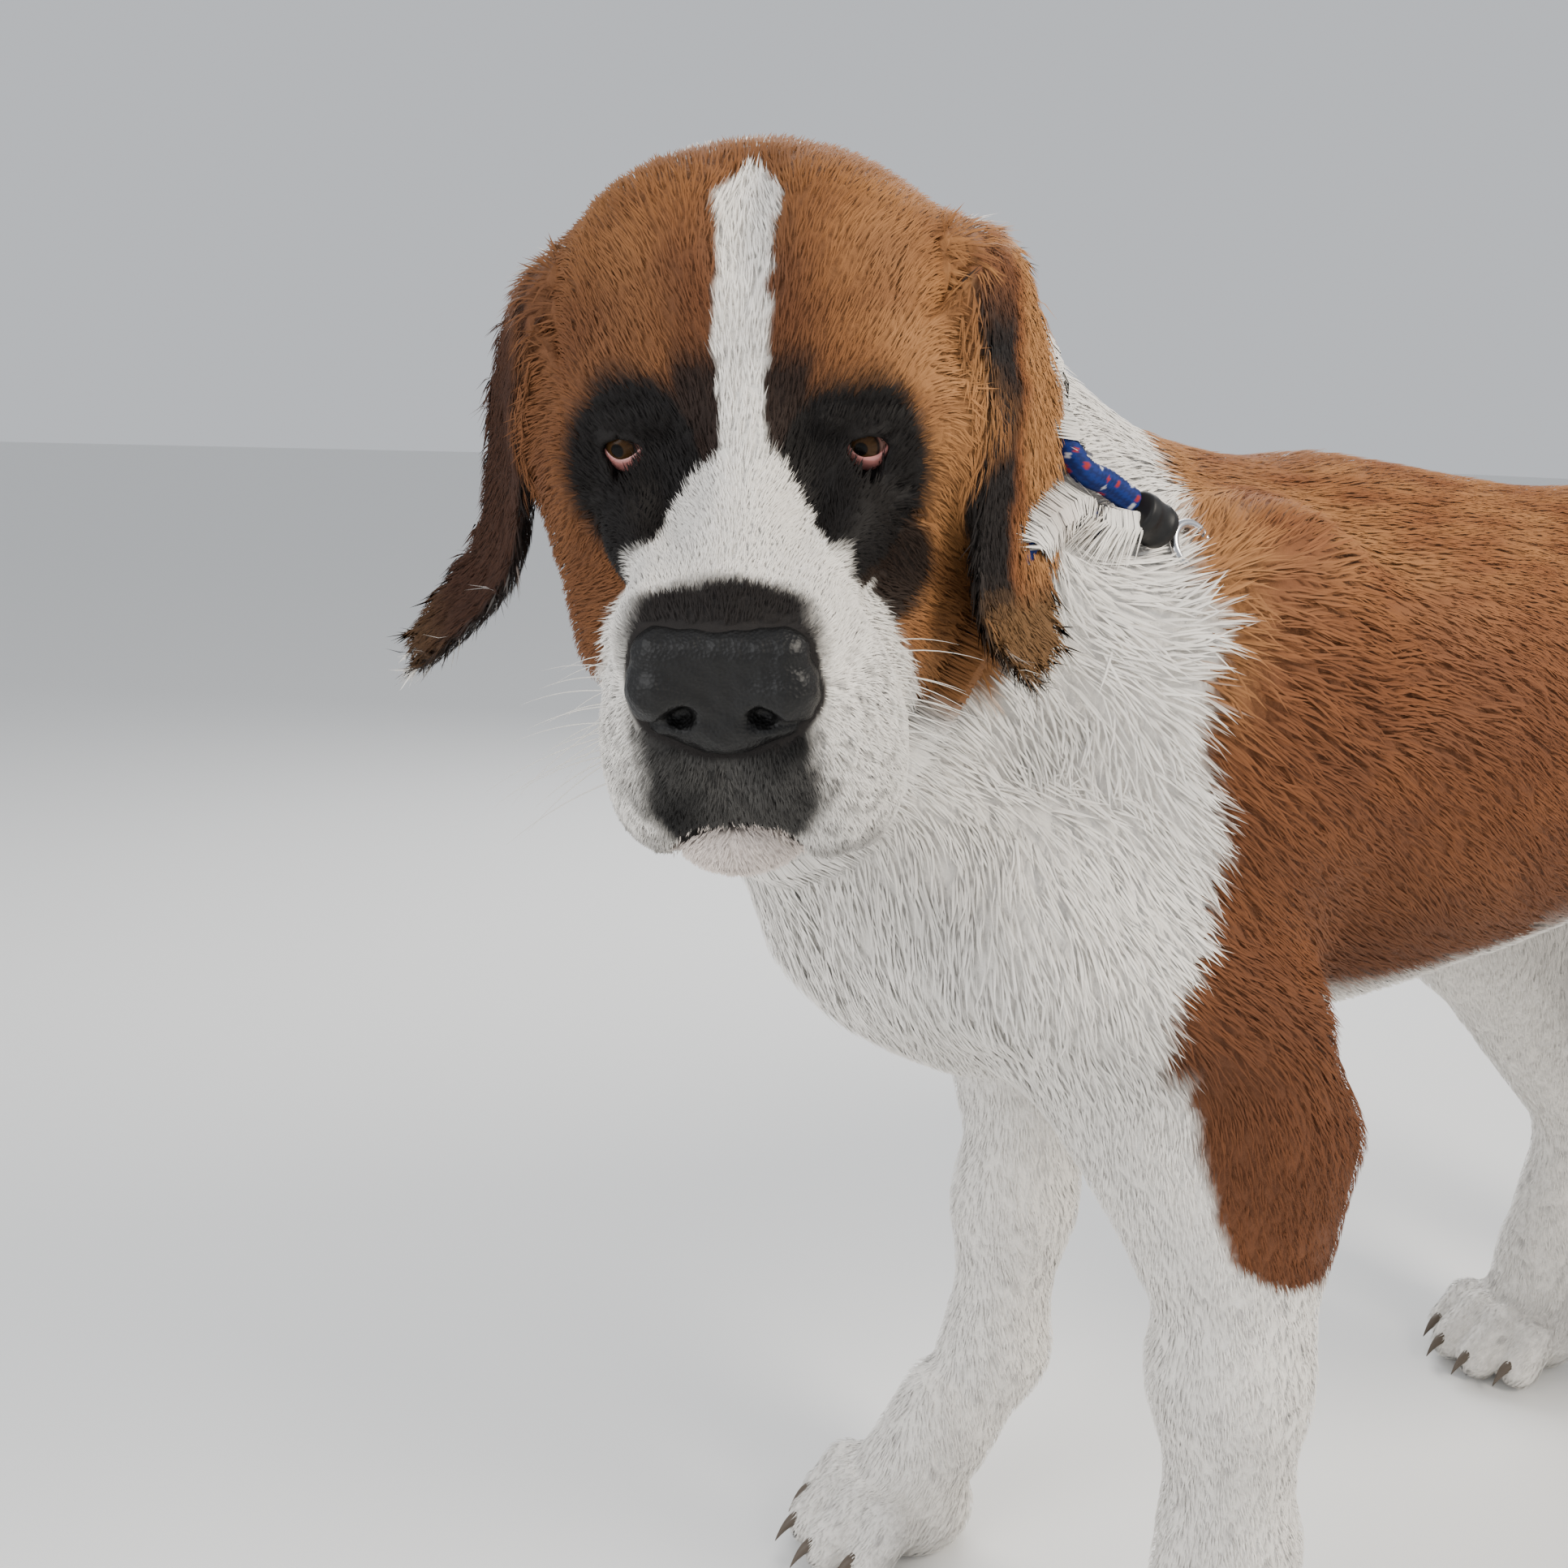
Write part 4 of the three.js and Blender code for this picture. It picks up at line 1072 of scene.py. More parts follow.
def ear_share(q):
    """Which ear a point lies on, 0 for none, and how far in from that ear's edges it is"""
    which = np.zeros(len(q), int)
    inset = np.zeros(len(q))
    for number, ear in enumerate(ears.values(), 1):
        near = ear.near(q)
        if near.any():
            i, across, _, _ = ear.place(q[near])
            on = (ear.field(q[near]) < 1.5) & (i > 3)
            rows = np.nonzero(near)[0][on]
            which[rows] = number
            inset[rows] = (ear.width[i] - np.abs(across))[on]
    return which, inset


def hair_length(p, q, which):
    _, y, z = p.T
    s, f, u = q.T
    length = 17 + 4 * step(y, 0, -80) * step(z, 360, 470) + 14 * step(y, 520, 575) * step(z, 330, 420)
    leg = step(z, 430, 340) * (y < 600)
    length = length + (9 - length) * leg
    length = length + (6.5 - length) * step(z, 90, 40)
    length = length + 26 * step(y, 600, 640) * step(z, 130, 160)
    face = 5 + 3.5 * step(f, 40, 0) + 4 * step(f, 0, -70) + 8 * step(u, -50, -95) * step(f, 20, -30)
    face = face + 3 * step(np.abs(s), 74, 92)
    on_head = head_share(q)
    length = length * (1 - on_head) + face * on_head
    return np.where(which > 0, EAR_HAIR, length)


SHORT_FACES = [[0, 1, 2], [0, 2, 3], [0, 3, 1], [4, 2, 1], [4, 3, 2], [4, 1, 3]]
LONG_FACES = SHORT_FACES[:3] + [
    [1, 4, 5], [1, 5, 2], [2, 5, 6], [2, 6, 3], [3, 6, 4], [3, 4, 1], [7, 5, 4], [7, 6, 5], [7, 4, 6]]
LONG = 22.0  # tufts from this length up have two rings
MOST_COAT = 1350000  # triangles of all tufts but the fringe's
rng = np.random.default_rng(20)


def cover(p, q, length):
    """How many tufts lie over one another: few on the smooth legs, more in the long coat"""
    on_head = head_share(q)
    many = 1.45 - 0.75 * step(p[:, 2], 430, 330) * (p[:, 1] < 600) + 0.5 * step(length, 18, 30)
    return many * (1 - on_head) + 1.5 * on_head


def roots():
    """Points spread over the skin, closer where the hair is short, with the skin's normals"""
    mesh = skin.data
    mesh.calc_loop_triangles()
    tris = read(mesh.loop_triangles, "vertices", np.int32)
    normals = read(mesh.vertices, "normal")
    a, b, c = (skin_points[tris[:, k]] for k in range(3))
    area = np.linalg.norm(np.cross(b - a, c - a), axis=1) / 2
    middle = (a + b + c) / 3
    q = to_face(middle)
    which, _ = ear_share(q)
    length = hair_length(middle, q, which)
    need = cover(middle, q, length) / (0.6 * length * hair_width(length))
    weight = area * need * bare(middle, q)
    expected = (weight * np.where(length < LONG, len(SHORT_FACES), len(LONG_FACES))).sum()
    count = rng.poisson(weight * min(1, MOST_COAT / expected))
    rows = np.repeat(np.arange(len(tris)), count)
    r1 = np.sqrt(rng.random(len(rows)))[:, None]
    r2 = rng.random(len(rows))[:, None]
    share_a, share_b, share_c = 1 - r1, r1 * (1 - r2), r1 * r2
    spots = a[rows] * share_a + b[rows] * share_b + c[rows] * share_c
    facing = sum(normals[tris[rows, k]] * share for k, share in enumerate((share_a, share_b, share_c)))
    return spots, unit(facing)


def hair_width(length):
    return np.clip(0.04 * length + 0.35, 0.55, 2.3)


def bare(p, q):
    """0 where nothing grows: the soles, the open rope, the nose, the eyes and between the lips"""
    exact = q.astype(np.float32)
    grows = (p[:, 2] > 3) * (1.0 - by_strand(p, 5))
    grows *= join(NOSE_FORM)(exact) > 0.8
    for _, s in SIDES:
        local = q - eye_centre(s)
        grows *= np.linalg.norm((local - [-1, 6, -2.6]) / [1.0, 1, 1.06], axis=1) > 11.5
    inside_mouth = (jaw_field(exact) < 3.2) & (head_flesh(exact) < -2.5) & (q[:, 1] > 0)
    return grows * ~inside_mouth


def turn_share(a, b):
    """The angle of a direction, as 0 to 1"""
    return np.arctan2(a, b) / (2 * math.pi) + 0.5


def regions(p, q, which):
    """Names the stretch of coat each root belongs to, and unwraps the skin's shape there into 0 to 1"""
    x, y, z = p.T
    name = np.full(len(p), "trunk", dtype="<U12")
    uv = np.stack([turn_share(x, z - 560), (y + 450) / 1100], 1)

    def claim(own, label, across, along):
        name[own] = label
        uv[own] = np.stack([across, along], 1)[own]

    name[y < -60] = "neck"
    legs = (z < 385) & (y < 600)
    for number, (centre_x, centre_y) in enumerate(((118, -15), (-90, -40), (105, 500), (-105, 450))):
        own = legs & ((x > 0) == (centre_x > 0)) & ((y > 200) == (centre_y > 200))
        turn = turn_share(x - centre_x, y - centre_y)
        claim(own, "legs", (turn + number % 2) / 2, (z / 400 + number // 2) / 2)
    feet = legs & (z < 84)
    for number, leg in enumerate((*FORE.values(), *HIND.values())):
        dx, dy = x - leg["paw"][0], y - leg["paw"][1]
        own = feet & (np.hypot(dx, dy + 20) < 120)
        rise = np.arctan2(z - 10, np.hypot(dx, dy + 15)) / math.pi + 0.5
        claim(own, "feet", (turn_share(dx, dy + 15) + number % 2) / 2, (rise + number // 2) / 2)
    name[feet] = "feet"
    tail_middle = np.interp(z, TAIL[::-1, 2], TAIL[::-1, 1])
    claim((y > 592) & (z > 130), "tail", turn_share(x - 5, y - tail_middle), (z - 120) / 560)
    s, f, u = (q - [0, -40, -20]).T
    claim(head_share(q) > 0.5, "head", turn_share(s, u), np.arctan2(f, np.hypot(s, u)) / math.pi + 0.5)
    for number, ear in enumerate(ears.values(), 1):
        own = which == number
        if own.any():
            i, across, off, _ = ear.place(q[own])
            uv[own] = np.stack([0.25 + across / 220 + 0.5 * (off < 0), i / EAR_STEPS], 1)
            name[own] = "ear_" + SIDES[number - 1][0]
    return name, np.clip(uv, 0.003, 0.997)


PATCH = 0.003  # a tuft's size on the map


def tuft_points(root, normal, way, length, width, height, bend, long):
    """Corners of closed spindles: a root, one ring or two, and a tip"""
    across = np.cross(way, normal)
    swerve = across * bend[:, None]

    def ring(share, rise, size):
        centre = root + way * (length * share)[:, None] + normal * (height * rise)[:, None]
        centre = centre + swerve * share**2
        half = across * (width * size / 2)[:, None]
        top = normal * (width * size * 0.3)[:, None]
        return [centre - half, centre + half, centre + top]

    start = root - normal * 1.0
    tip = root + way * length[:, None] + normal * height[:, None] + swerve
    if long:
        corners = [start, *ring(0.26, 0.55, 0.9), *ring(0.64, 0.92, 0.8), tip]
    else:
        corners = [start, *ring(0.36, 0.6, 1.0), tip]
    return np.stack(corners, 1)


SOFT = 0.88  # how far the tufts are shaded with the skin below them, as a dense coat is
# painted shade along each tuft: darker toward the root, where the coat shades itself, and a little lighter at
# the tip
TUFT_PAINTED_SHADE = {  # from root to tip, for tufts with one ring and with two
    5: (0.92, 0.98, 0.98, 1.0, 1.05),
    8: (0.88, 0.95, 0.95, 0.97, 1.0, 1.0, 1.02, 1.06),
}


def coat_piece(name, corners, normal, colours, uv, faces, slot):
    count, per = corners.shape[:2]
    index = np.asarray(faces)[None] + (np.arange(count) * per)[:, None, None]
    obj = mesh_object(name, to_frame(corners.reshape(-1, 3)), index.reshape(-1, 3))
    own = read(obj.data.vertices, "normal")
    soft = unit(own * (1 - SOFT) + np.repeat(normal, per, axis=0) * SOFT)
    obj.data.normals_split_custom_set_from_vertices(soft.tolist())
    shade = np.array(TUFT_PAINTED_SHADE[per])
    colour_points(obj, (colours[:, None] * shade[None, :, None]).reshape(-1, 3))
    along = np.linspace(-0.5, 0.5, per) * PATCH
    over = np.resize([0, -0.5, 0.5, 0], per) * PATCH
    spots = uv[:, None] + np.stack([over, along], 1)[None]
    layer = obj.data.uv_layers.new(name="OFBake")
    layer.data.foreach_set("uv", spots.reshape(-1, 2)[index.ravel()].astype(np.float32).ravel())
    keep(obj, coat_material, slot)


MOST_TRIANGLES = 190000  # of one piece
SLOT_OF = {"head": "rust_coat", "trunk": "rust_coat", "tail": "rust_coat", "neck": "white_coat",
           "legs": "white_coat", "feet": "white_coat", "ear_left": "dark_coat", "ear_right": "dark_coat"}


def make_coat():
    root, normal = roots()
    many = len(root)
    q = to_face(root)
    which, inset = ear_share(q)
    length = hair_length(root, q, which)
    length = np.where((which > 0) & (inset < EAR_EDGE), EAR_EDGE_HAIR, length)
    length = length * rng.normal(1, 0.13, many).clip(0.6, 1.4)
    width = hair_width(length) * rng.uniform(0.75, 1.25, many)
    way = lie(root)
    # neighbours swerve together, as locks do, and each tuft a little on its own
    loose = 0.08 + 0.16 * step(length, 15, 40)
    for axis in range(3):
        way[:, axis] += loose * waves(root, 34, 30 + axis) + 0.5 * loose * waves(root, 11, 40 + axis)
    way += rng.normal(0, 0.05, way.shape)
    way = unit(way - normal * (way * normal).sum(1, keepdims=True))
    depth = np.where(which > 0, EAR_DEPTH, coat_depth(root))
    height = depth * rng.uniform(0.7, 1.05, many) * (1 + 0.15 * waves(root, 18, 50))
    height = np.minimum(height, length * 0.6)
    bend = length * rng.normal(0, 0.10, many)
    seen = root + way * (length * 0.55)[:, None] + normal * (depth * 0.3)[:, None]
    colours = coat_colour(seen) * rng.normal(1, 0.06, many).clip(0.8, 1.2)[:, None]
    name, uv = regions(root, q, which)
    for region, slot in SLOT_OF.items():
        for kind, faces in (("short", SHORT_FACES), ("long", LONG_FACES)):
            long = kind == "long"
            rows = np.nonzero((name == region) & ((length >= LONG) == long))[0]
            parts = math.ceil(len(rows) * len(faces) / MOST_TRIANGLES)
            for part in range(parts):
                own = rows[part::parts]
                corners = tuft_points(
                    root[own], normal[own], way[own], length[own], width[own], height[own], bend[own], long)
                corners[..., 2] = np.maximum(corners[..., 2], 0.3)
                label = f"coat_{region}_{kind}_{part + 1}"
                coat_piece(label, corners, normal[own], colours[own], uv[own], faces, slot)


FRINGE_ROWS = 3  # tufts at every second point of the rope's line


def make_fringe():
    """The hair that the rope sinks under: rooted ahead of it and falling over it"""
    line = np.repeat(ROPE_LINE[~SHOWN][::2], FRINGE_ROWS, axis=0)
    count = len(line)
    line = line + rng.normal(0, 0.3, (count, 3))
    slope = [skin_field((line + way).astype(np.float32)) - skin_field((line - way).astype(np.float32))
             for way in np.eye(3)]
    up = unit(np.stack(slope, 1))
    along = np.gradient(ROPE_LINE, axis=0)[~SHOWN][::2]
    along = unit(np.repeat(along, FRINGE_ROWS, axis=0))
    along = unit(along - up * (along * up).sum(1, keepdims=True))
    ahead = np.cross(along, up)
    ahead *= np.sign((ahead @ COLLAR_AXIS).mean())
    drift = (0.25 * waves(line, 30, 61) + rng.normal(0, 0.12, count))[:, None] * along
    root = settle(line + ahead * rng.uniform(7, 14, count)[:, None], skin_field)
    land = settle(line - ahead * rng.uniform(11, 22, count)[:, None] + drift * 22, skin_field)
    lift = (ROPE_RADIUS + rng.uniform(0.8, 2.4, count))[:, None]
    width = rng.uniform(1.0, 1.8, count)[:, None]

    def ring(centre, size):
        half = along * width * size / 2
        return [centre - half, centre + half, centre + up * width * size * 0.3]

    first = ring(line + up * lift + ahead * 3.4 + drift * 4, 0.95)
    second = ring(line + up * lift * 0.97 - ahead * 4.6 + drift * 9, 0.85)
    corners = np.stack([root, *first, *second, land + up * 1.5], 1)
    name, uv = regions(root, to_face(root), np.zeros(count, int))
    colours = coat_colour(line - up * 6 - ahead * 4, with_ears=False)
    colours = colours * rng.normal(1, 0.08, count).clip(0.8, 1.2)[:, None]
    for region in ("head", "neck", "trunk"):
        own = name == region
        if own.any():
            label, slot = f"coat_{region}_collar", SLOT_OF[region]
            coat_piece(label, corners[own], up[own], colours[own], uv[own], LONG_FACES, slot)


make_coat()
make_fringe()


# Eyes
def grid_faces(rows, columns, ring=False):
    """Quads of a sheet of rows that closes round its columns, and in a ring round its rows too"""
    i, j = np.meshgrid(np.arange(rows if ring else rows - 1), np.arange(columns), indexing="ij")
    below, beside = (i + 1) % rows, (j + 1) % columns
    quads = np.stack(
        [i * columns + j, i * columns + beside, below * columns + beside, below * columns + j], -1)
    return quads.reshape(-1, 4)


def full_turn(count):
    return np.arange(count) / count * 2 * math.pi


def tube(middle, right, over, radius, columns):
    """Points round a middle line, from the two ways across it and the radius at each of its points"""
    turn = full_turn(columns)[None, :, None]
    around = np.cos(turn) * right[:, None] + np.sin(turn) * over[:, None]
    return (middle[:, None] + radius[..., None] * around).reshape(-1, 3)


def revolve(profile, columns, axis, centre, up=(0, 0, 1)):
    """A closed form turned round an axis: profile rows are (distance out, distance along)"""
    axis = unit(axis)
    right = unit(np.cross(axis, up))
    over = np.cross(right, axis)
    turn = full_turn(columns)
    ring = np.cos(turn)[:, None] * right + np.sin(turn)[:, None] * over
    profile = np.asarray(profile, float)
    return (centre + profile[:, None, :1] * ring[None] + profile[:, None, 1:] * axis).reshape(-1, 3)


IRIS = 6.9
PUPIL = 2.6
EYE_WHITE = np.array([0.22, 0.12, 0.10])
EYE_VEIN = np.array([0.3, 0.1, 0.08])
IRIS_BROWN = np.array([0.058, 0.028, 0.010])
IRIS_RIM = np.array([0.012, 0.006, 0.004])
PUPIL_BLACK = np.array([0.002, 0.002, 0.002])
GAZE = {"left": (-0.108, 0.992, -0.068), "right": (-0.29, 0.956, -0.054)}


def make_eyes():
    material, nodes, links, principled = shader(
        "eye", 0.25, Coat_Weight=0.07, Coat_Roughness=0.03, Specular_IOR_Level=0.08)
    colour = nodes.new("ShaderNodeAttribute")
    colour.attribute_name = "coat"
    links.new(colour.outputs["Color"], principled.inputs["Base Color"])
    rows, columns = 80, 72
    lean = np.linspace(0.001, math.pi - 0.001, rows)
    cornea = np.exp(-((np.sin(lean) * EYE_RADIUS / IRIS) ** 2) * 1.3) * (lean < 1.2)
    bulge = EYE_RADIUS - 0.05 + 0.9 * cornea
    profile = np.stack([bulge * np.sin(lean), bulge * np.cos(lean)], 1)
    out = np.repeat(np.sin(lean) * EYE_RADIUS + 50 * (lean > 1.5), columns)
    turn = np.tile(full_turn(columns), rows)
    fibre = 0.75 + 0.25 * np.sin(turn * 23 + 2 * np.sin(turn * 7)) * step(out, PUPIL, IRIS)
    for name, s in SIDES:
        points = revolve(profile, columns, unit(GAZE[name]), eye_centre(s))
        colours = paint(
            spread(len(out), *EYE_WHITE),
            EYE_VEIN, waves(points, 3, 9) * 0.5,
            IRIS_BROWN * fibre[:, None], step(out, IRIS + 0.4, IRIS - 0.1),
            IRIS_RIM, step(np.abs(out - IRIS), 0.9, 0.3),
            PUPIL_BLACK, step(out, PUPIL + 0.3, PUPIL - 0.2))
        obj = mesh_object("eyeball_" + name, to_frame(from_face(points)), grid_faces(rows, columns))
        close_ends(obj)
        colour_points(obj, colours)
        keep(obj, material, "eye", "eye_" + name)


def close_ends(obj):
    """Fills the small round holes at both ends of a turned form"""
    mesh = bmesh.new()
    mesh.from_mesh(obj.data)
    bmesh.ops.holes_fill(mesh, edges=[e for e in mesh.edges if e.is_boundary])
    bmesh.ops.recalc_face_normals(mesh, faces=mesh.faces)
    mesh.to_mesh(obj.data)
    mesh.free()


def make_haws():
    """The pink inner rim that shows under each eye"""
    material = grained(
        "haw", 0.3, 900, 6, 0.4, 0.0003, base=(0.48, 0.19, 0.17), Coat_Weight=0.3, Coat_Roughness=0.1)
    columns, rows = 28, 9
    across = np.linspace(-1, 1, columns)[None]
    row = np.arange(rows)[:, None]
    turn = across * 0.8 + 0 * row
    rise = -0.34 + 0.5 * across * across - row / (rows - 1) * 1.05
    index = np.arange(rows * columns).reshape(rows, columns)
    quads = np.stack([index[:-1, :-1], index[1:, :-1], index[1:, 1:], index[:-1, 1:]], -1).reshape(-1, 4)
    edge = np.concatenate([index[0], index[1:, -1], index[-1, -2::-1], index[-2:0:-1, 0]])
    after = np.roll(edge, -1)
    shift = rows * columns
    rim = np.stack([edge, after, after + shift, edge + shift], 1)
    quads = np.concatenate([quads, quads[:, ::-1] + shift, rim])
    for name, s in SIDES:
        right, out, up = eye_axes(s)
        way = (np.sin(turn) * np.cos(rise))[..., None] * right
        way = way + (np.cos(turn) * np.cos(rise))[..., None] * out + np.sin(rise)[..., None] * up
        thick = EYE_RADIUS + 1.0 - 0.5 * (row == 0)
        sheets = [eye_centre(s) + way * thick[..., None], eye_centre(s) + way * (EYE_RADIUS - 0.6)]
        points = np.concatenate([sheet.reshape(-1, 3) for sheet in sheets])
        obj = mesh_object("haw_" + name, to_frame(from_face(points)), quads)
        close_ends(obj)
        keep(obj, material, "eye")


make_eyes()
make_haws()


# Nose: wet, pebbled leather with comma nostrils
def nose_field(q):
    d = join(NOSE_FORM)(q)
    d = -blend(-d, limb([0, 128, -52], [0, 122, -92], 1.6, 2.2)(q), 5)
    for _, s in SIDES:
        d = -blend(-d, mass([s * 16, 120, -62], [7, 12, 6])(q), 3)
        d = -blend(-d, limb([s * 18, 119, -63], [s * 33, 106, -68], 3.4, 1.6)(q), 3)
        d = blend(d, mass([s * 25, 110, -53], [9, 9, 8])(q), 6)
    return d - 0.25 * waves(q, 5, 60)


def make_nose():
    vertices, quads = surface(nose_field, (-40, 78, -90), (40, 128, -28), 1.0)
    vertices = settle(vertices.astype(np.float32), nose_field, 2, 1)
    material, nodes, links, principled = shader(
        "nose_leather", 0.5, base=(0.004, 0.0038, 0.0038), Coat_Weight=0.12, Coat_Roughness=0.25,
        Specular_IOR_Level=0.25)
    place = nodes.new("ShaderNodeTexCoord")
    cells = nodes.new("ShaderNodeTexVoronoi")
    cells.inputs["Scale"].default_value = 640
    links.new(place.outputs["Object"], cells.inputs["Vector"])
    bump(nodes, links, principled, cells.outputs["Distance"], 0.7, 0.0006)
    obj = mesh_object("nose_pad", to_frame(from_face(vertices)), quads)
    keep(obj, material, "nose_leather", "nose")


make_nose()


# Claws and whiskers
def tapered(points, radii, columns):
    """A tapered tube through points, open at its ends"""
    points = np.asarray(points, float)
    along = unit(np.gradient(points, axis=0))
    right = unit(np.cross(along, [0.31, 0.22, 0.92]))
    over = np.cross(right, along)
    return tube(points, right, over, np.asarray(radii)[:, None], columns), grid_faces(len(points), columns)


def joined_tubes(name, tubes, columns):
    """One mesh of several tapered tubes, each closed at its ends"""
    vertices, faces, start = [], [], 0
    for points, radii in tubes:
        v, f = tapered(points, radii, columns)
        vertices.append(v)
        faces.append(f + start)
        start += len(v)
    obj = mesh_object(name, to_frame(np.concatenate(vertices)), np.concatenate(faces))
    close_ends(obj)
    return obj


def make_claws():
    material = grained("claw", 0.45, 500, 5, 0.25, 0.0004, base=(0.10, 0.078, 0.06), Specular_IOR_Level=0.3)
    share = np.linspace(0, 1, 9)
    radii = 4.3 * (1 - share**1.6) + 0.25
    for name, legs in (("fore", FORE), ("hind", HIND)):
        for side_name, leg in legs.items():
            tubes = []
            for toe in TOES:
                tip = toe_points(*leg["paw"], toe)[2]
                ahead = tip[1] - 8 - (toe[2] - 1) * share
                tubes.append((np.stack([0 * share + tip[0], ahead, tip[2] + 4 - 14 * share**2.2], 1), radii))
            keep(joined_tubes(f"claws_{name}_{side_name}", tubes, 12), material, "nose_leather")


def make_whiskers():
    material, *_ = shader("whisker", 0.3, base=(0.75, 0.72, 0.66))
    draw = np.random.default_rng(77)
    sag = np.array([0, 0, -0.22])
    share = np.linspace(-0.05, 1, 8)[:, None]
    radii = 0.28 * (1 - np.linspace(0, 1, 8) ** 1.5) + 0.03
    for name, s in SIDES:
        tubes = []
        for row in range(4):
            for column in range(6):
                spot = np.array([s * (46 + 4 * row), 92 - 11 * column - 3 * row, -72 - 12 * row])
                spot = spot + draw.normal(0, 2, 3)
                spot = settle(from_face(spot)[None].astype(np.float32), skin_field, 6, 8)[0]
                way = np.array([s * 1.0, -0.15 - 0.1 * column, -0.25 - 0.12 * row])
                way = unit(way + draw.normal(0, 0.16, 3))
                reach = draw.uniform(26, 58)
                line = to_face(spot[None]) + way * share * reach + sag * share**2 * reach
                tubes.append((from_face(line), radii))
        keep(joined_tubes("whiskers_" + name, tubes, 4), material, "white_coat")


make_claws()
make_whiskers()


# Collar
def make_rope():
    whole = walk(ROPE_LINE)[-1]
    rings, columns, strands = int(whole / 0.9), 32, 8
    marks = np.arange(rings) / rings * whole
    centre = points_at(ROPE_LINE, marks)
    along = unit(np.roll(centre, -1, 0) - np.roll(centre, 1, 0))
    out = centre - COLLAR_CENTRE
    out = unit(out - along * (out * along).sum(1, keepdims=True))
    across = np.cross(along, out)
    lay = marks[:, None] / ROPE_PITCH * 2 * math.pi
    ways = [(full_turn(columns)[None] + hand * lay) * strands / 2 for hand in (-1, 1)]
    radius = ROPE_RADIUS - 0.55 + 0.5 * np.abs(np.cos(ways[0]) * np.cos(ways[1]))
    points = tube(centre, out, across, radius, columns)
    # blue, with a red strand and white flecks that run round it
    colours = np.tile([0.008, 0.024, 0.15], (rings, columns, 1))
    first, second = [np.floor(way / math.pi).astype(int) for way in ways]
    red = ((first % 8) == 0) & ((second % 4) == 0) | ((second % 8) == 3) & ((first % 4) == 1)
    pale = ((first % 8) == 1) & ((second % 4) == 1)
    dark = ((first + second) % 2 == 0)[..., None]
    colours = np.where(dark, colours * 0.6, colours)
    colours[red] = [0.30, 0.02, 0.025]
    colours[pale] = [0.50, 0.51, 0.56]
    material = from_points("rope", 0.7, 900, 0.0003, Specular_IOR_Level=0.2)
    obj = mesh_object("rope", to_frame(points), grid_faces(rings, columns, ring=True)[:, ::-1])
    colour_points(obj, colours.reshape(-1, 3))
    keep(obj, material, "rope", "collar_rope")


def keeper_place():
    """The keeper's middle, and the ways back along the strands and out from the neck"""
    back = -COLLAR_AXIS
    from_middle = ROPE_TIP - COLLAR_CENTRE
    return ROPE_TIP, back, unit(from_middle - back * (from_middle @ back))


def make_keeper():
    tip, back, _ = keeper_place()
    material = grained(
        "keeper", 0.5, 800, 4, 0.2, 0.0002, base=(0.006, 0.006, 0.0065), Specular_IOR_Level=0.3)
    radius, half, corner = 10.4, 10.6, 2.2
    profile = [(0.01, -half)]
    quarter = np.linspace(0, math.pi / 2, 8)
    for turn in quarter:
        profile.append((radius - corner + corner * math.sin(turn), -half + corner - corner * math.cos(turn)))
    for z in (-6, -4.6, -4.2, 4.2, 4.6, 6):
        profile.append((radius + (0.35 if abs(z) > 4.5 else 0), z))
    for turn in quarter[::-1]:
        profile.append((radius - corner + corner * math.sin(turn), half - corner + corner * math.cos(turn)))
    profile.append((0.01, half))
    columns = 40
    points = revolve(profile, columns, back, tip - back * 2)
    obj = mesh_object("keeper_slide", to_frame(points), grid_faces(len(profile), columns))
    close_ends(obj)
    keep(obj, material, "keeper", "collar_keeper")


def make_ring():
    tip, back, out = keeper_place()
    centre = tip + back * 28 + out * 3
    lean = math.radians(78)
    flat_a, flat_b = np.cross(back, out), out * math.cos(lean) + back * math.sin(lean)
    normal = np.cross(flat_a, flat_b)
    material = grained("ring_steel", 0.22, 300, 6, 0.08, 0.0002, base=(0.62, 0.62, 0.64), Metallic=1.0)
    major, minor, rows, columns = 11, 2.4, 64, 20
    turn = full_turn(rows)[:, None]
    spoke = np.cos(turn) * flat_a + np.sin(turn) * flat_b
    points = tube(centre + spoke * major, spoke, normal[None], np.full((rows, 1), minor), columns)
    obj = mesh_object("ring_loop", to_frame(points), grid_faces(rows, columns, ring=True)[:, ::-1])
    keep(obj, material, "ring_steel", "collar_ring")


make_rope()
make_keeper()
make_ring()


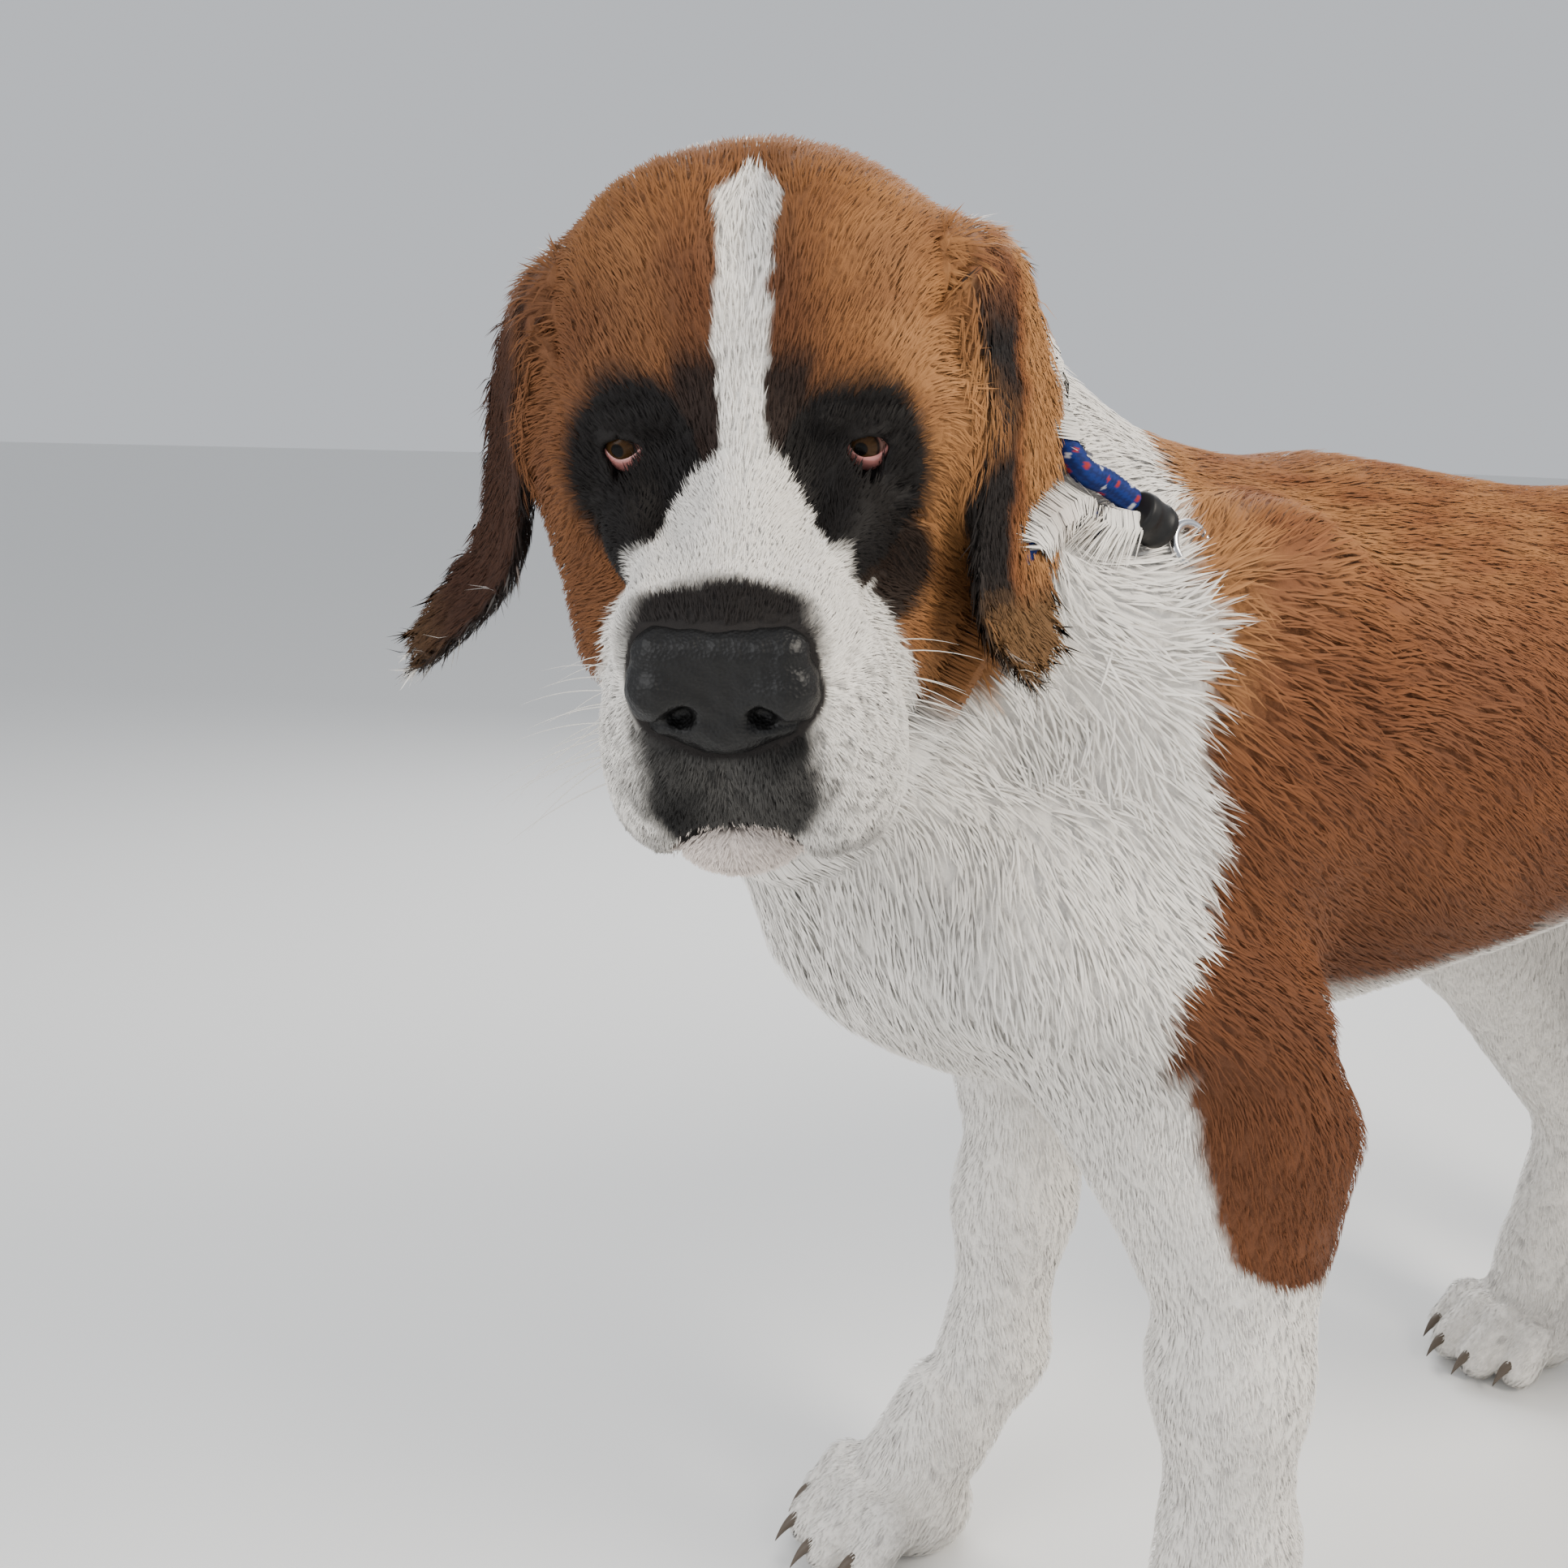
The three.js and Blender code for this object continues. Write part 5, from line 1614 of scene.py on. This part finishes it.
# Floor, light and camera
CAMERA = np.array([739.7, -547.0, 712.7])
CAMERA_LOOK = unit([-0.920, 0.3919, 0.0])
CAMERA_PITCH = math.radians(12.34)
CAMERA_ROLL = 0.029
FOCAL_SHARE = 1982.8 / 1932  # focal length over the picture's width
SENSOR = 36


def make_stage():
    material, *_ = shader("floor", 0.9, base=(0.78, 0.78, 0.77))
    half = 40
    corners = [(-half, -half, 0), (half, -half, 0), (half, half, 0), (-half, half, 0)]
    floor = mesh_object("floor", corners, [[0, 1, 2, 3]], smooth=False)
    floor.data.materials.append(material)
    world = bpy.data.worlds.new("studio")
    world.use_nodes = True
    background = world.node_tree.nodes["Background"].inputs
    background["Color"].default_value = (0.86, 0.89, 0.94, 1)
    background["Strength"].default_value = 0.75
    bpy.context.scene.world = world


def soft_light(name, place, aim, size, power, colour=(1, 1, 1)):
    data = bpy.data.lights.new(name, "AREA")
    data.shape = "DISK"
    data.size = size
    data.energy = power
    data.color = colour
    light = bpy.data.objects.new(name, data)
    light.location = place
    light.rotation_euler = (Vector(aim) - Vector(place)).to_track_quat("-Z", "Y").to_euler()
    bpy.context.scene.collection.objects.link(light)


def make_camera():
    ahead = CAMERA_LOOK * math.cos(CAMERA_PITCH) + np.array([0, 0, -1]) * math.sin(CAMERA_PITCH)
    right = np.cross(CAMERA_LOOK, [0, 0, 1])
    down = np.cross(ahead, right)
    c, s = math.cos(CAMERA_ROLL), math.sin(CAMERA_ROLL)
    x_axis = right * c - down * s
    y_axis = -(right * s + down * c)
    data = bpy.data.cameras.new("camera")
    data.sensor_width = SENSOR
    data.lens = SENSOR * FOCAL_SHARE
    data.clip_start = 0.02
    camera = bpy.data.objects.new("camera", data)
    turn = Matrix([x_axis, y_axis, -ahead]).transposed().to_4x4()
    camera.matrix_world = Matrix.Translation(Vector(to_frame(CAMERA))) @ turn
    bpy.context.scene.collection.objects.link(camera)
    bpy.context.scene.camera = camera


make_stage()
middle = Vector(to_frame([40, -150, 560]))
soft_light("key", to_frame([1500, 900, 1900]), middle, 0.9, 60, (1, 0.93, 0.82))
soft_light("fill", to_frame([700, -2200, 1500]), middle, 2.0, 40)
soft_light("back", to_frame([-1800, 900, 1800]), middle, 2.0, 45)
make_camera()
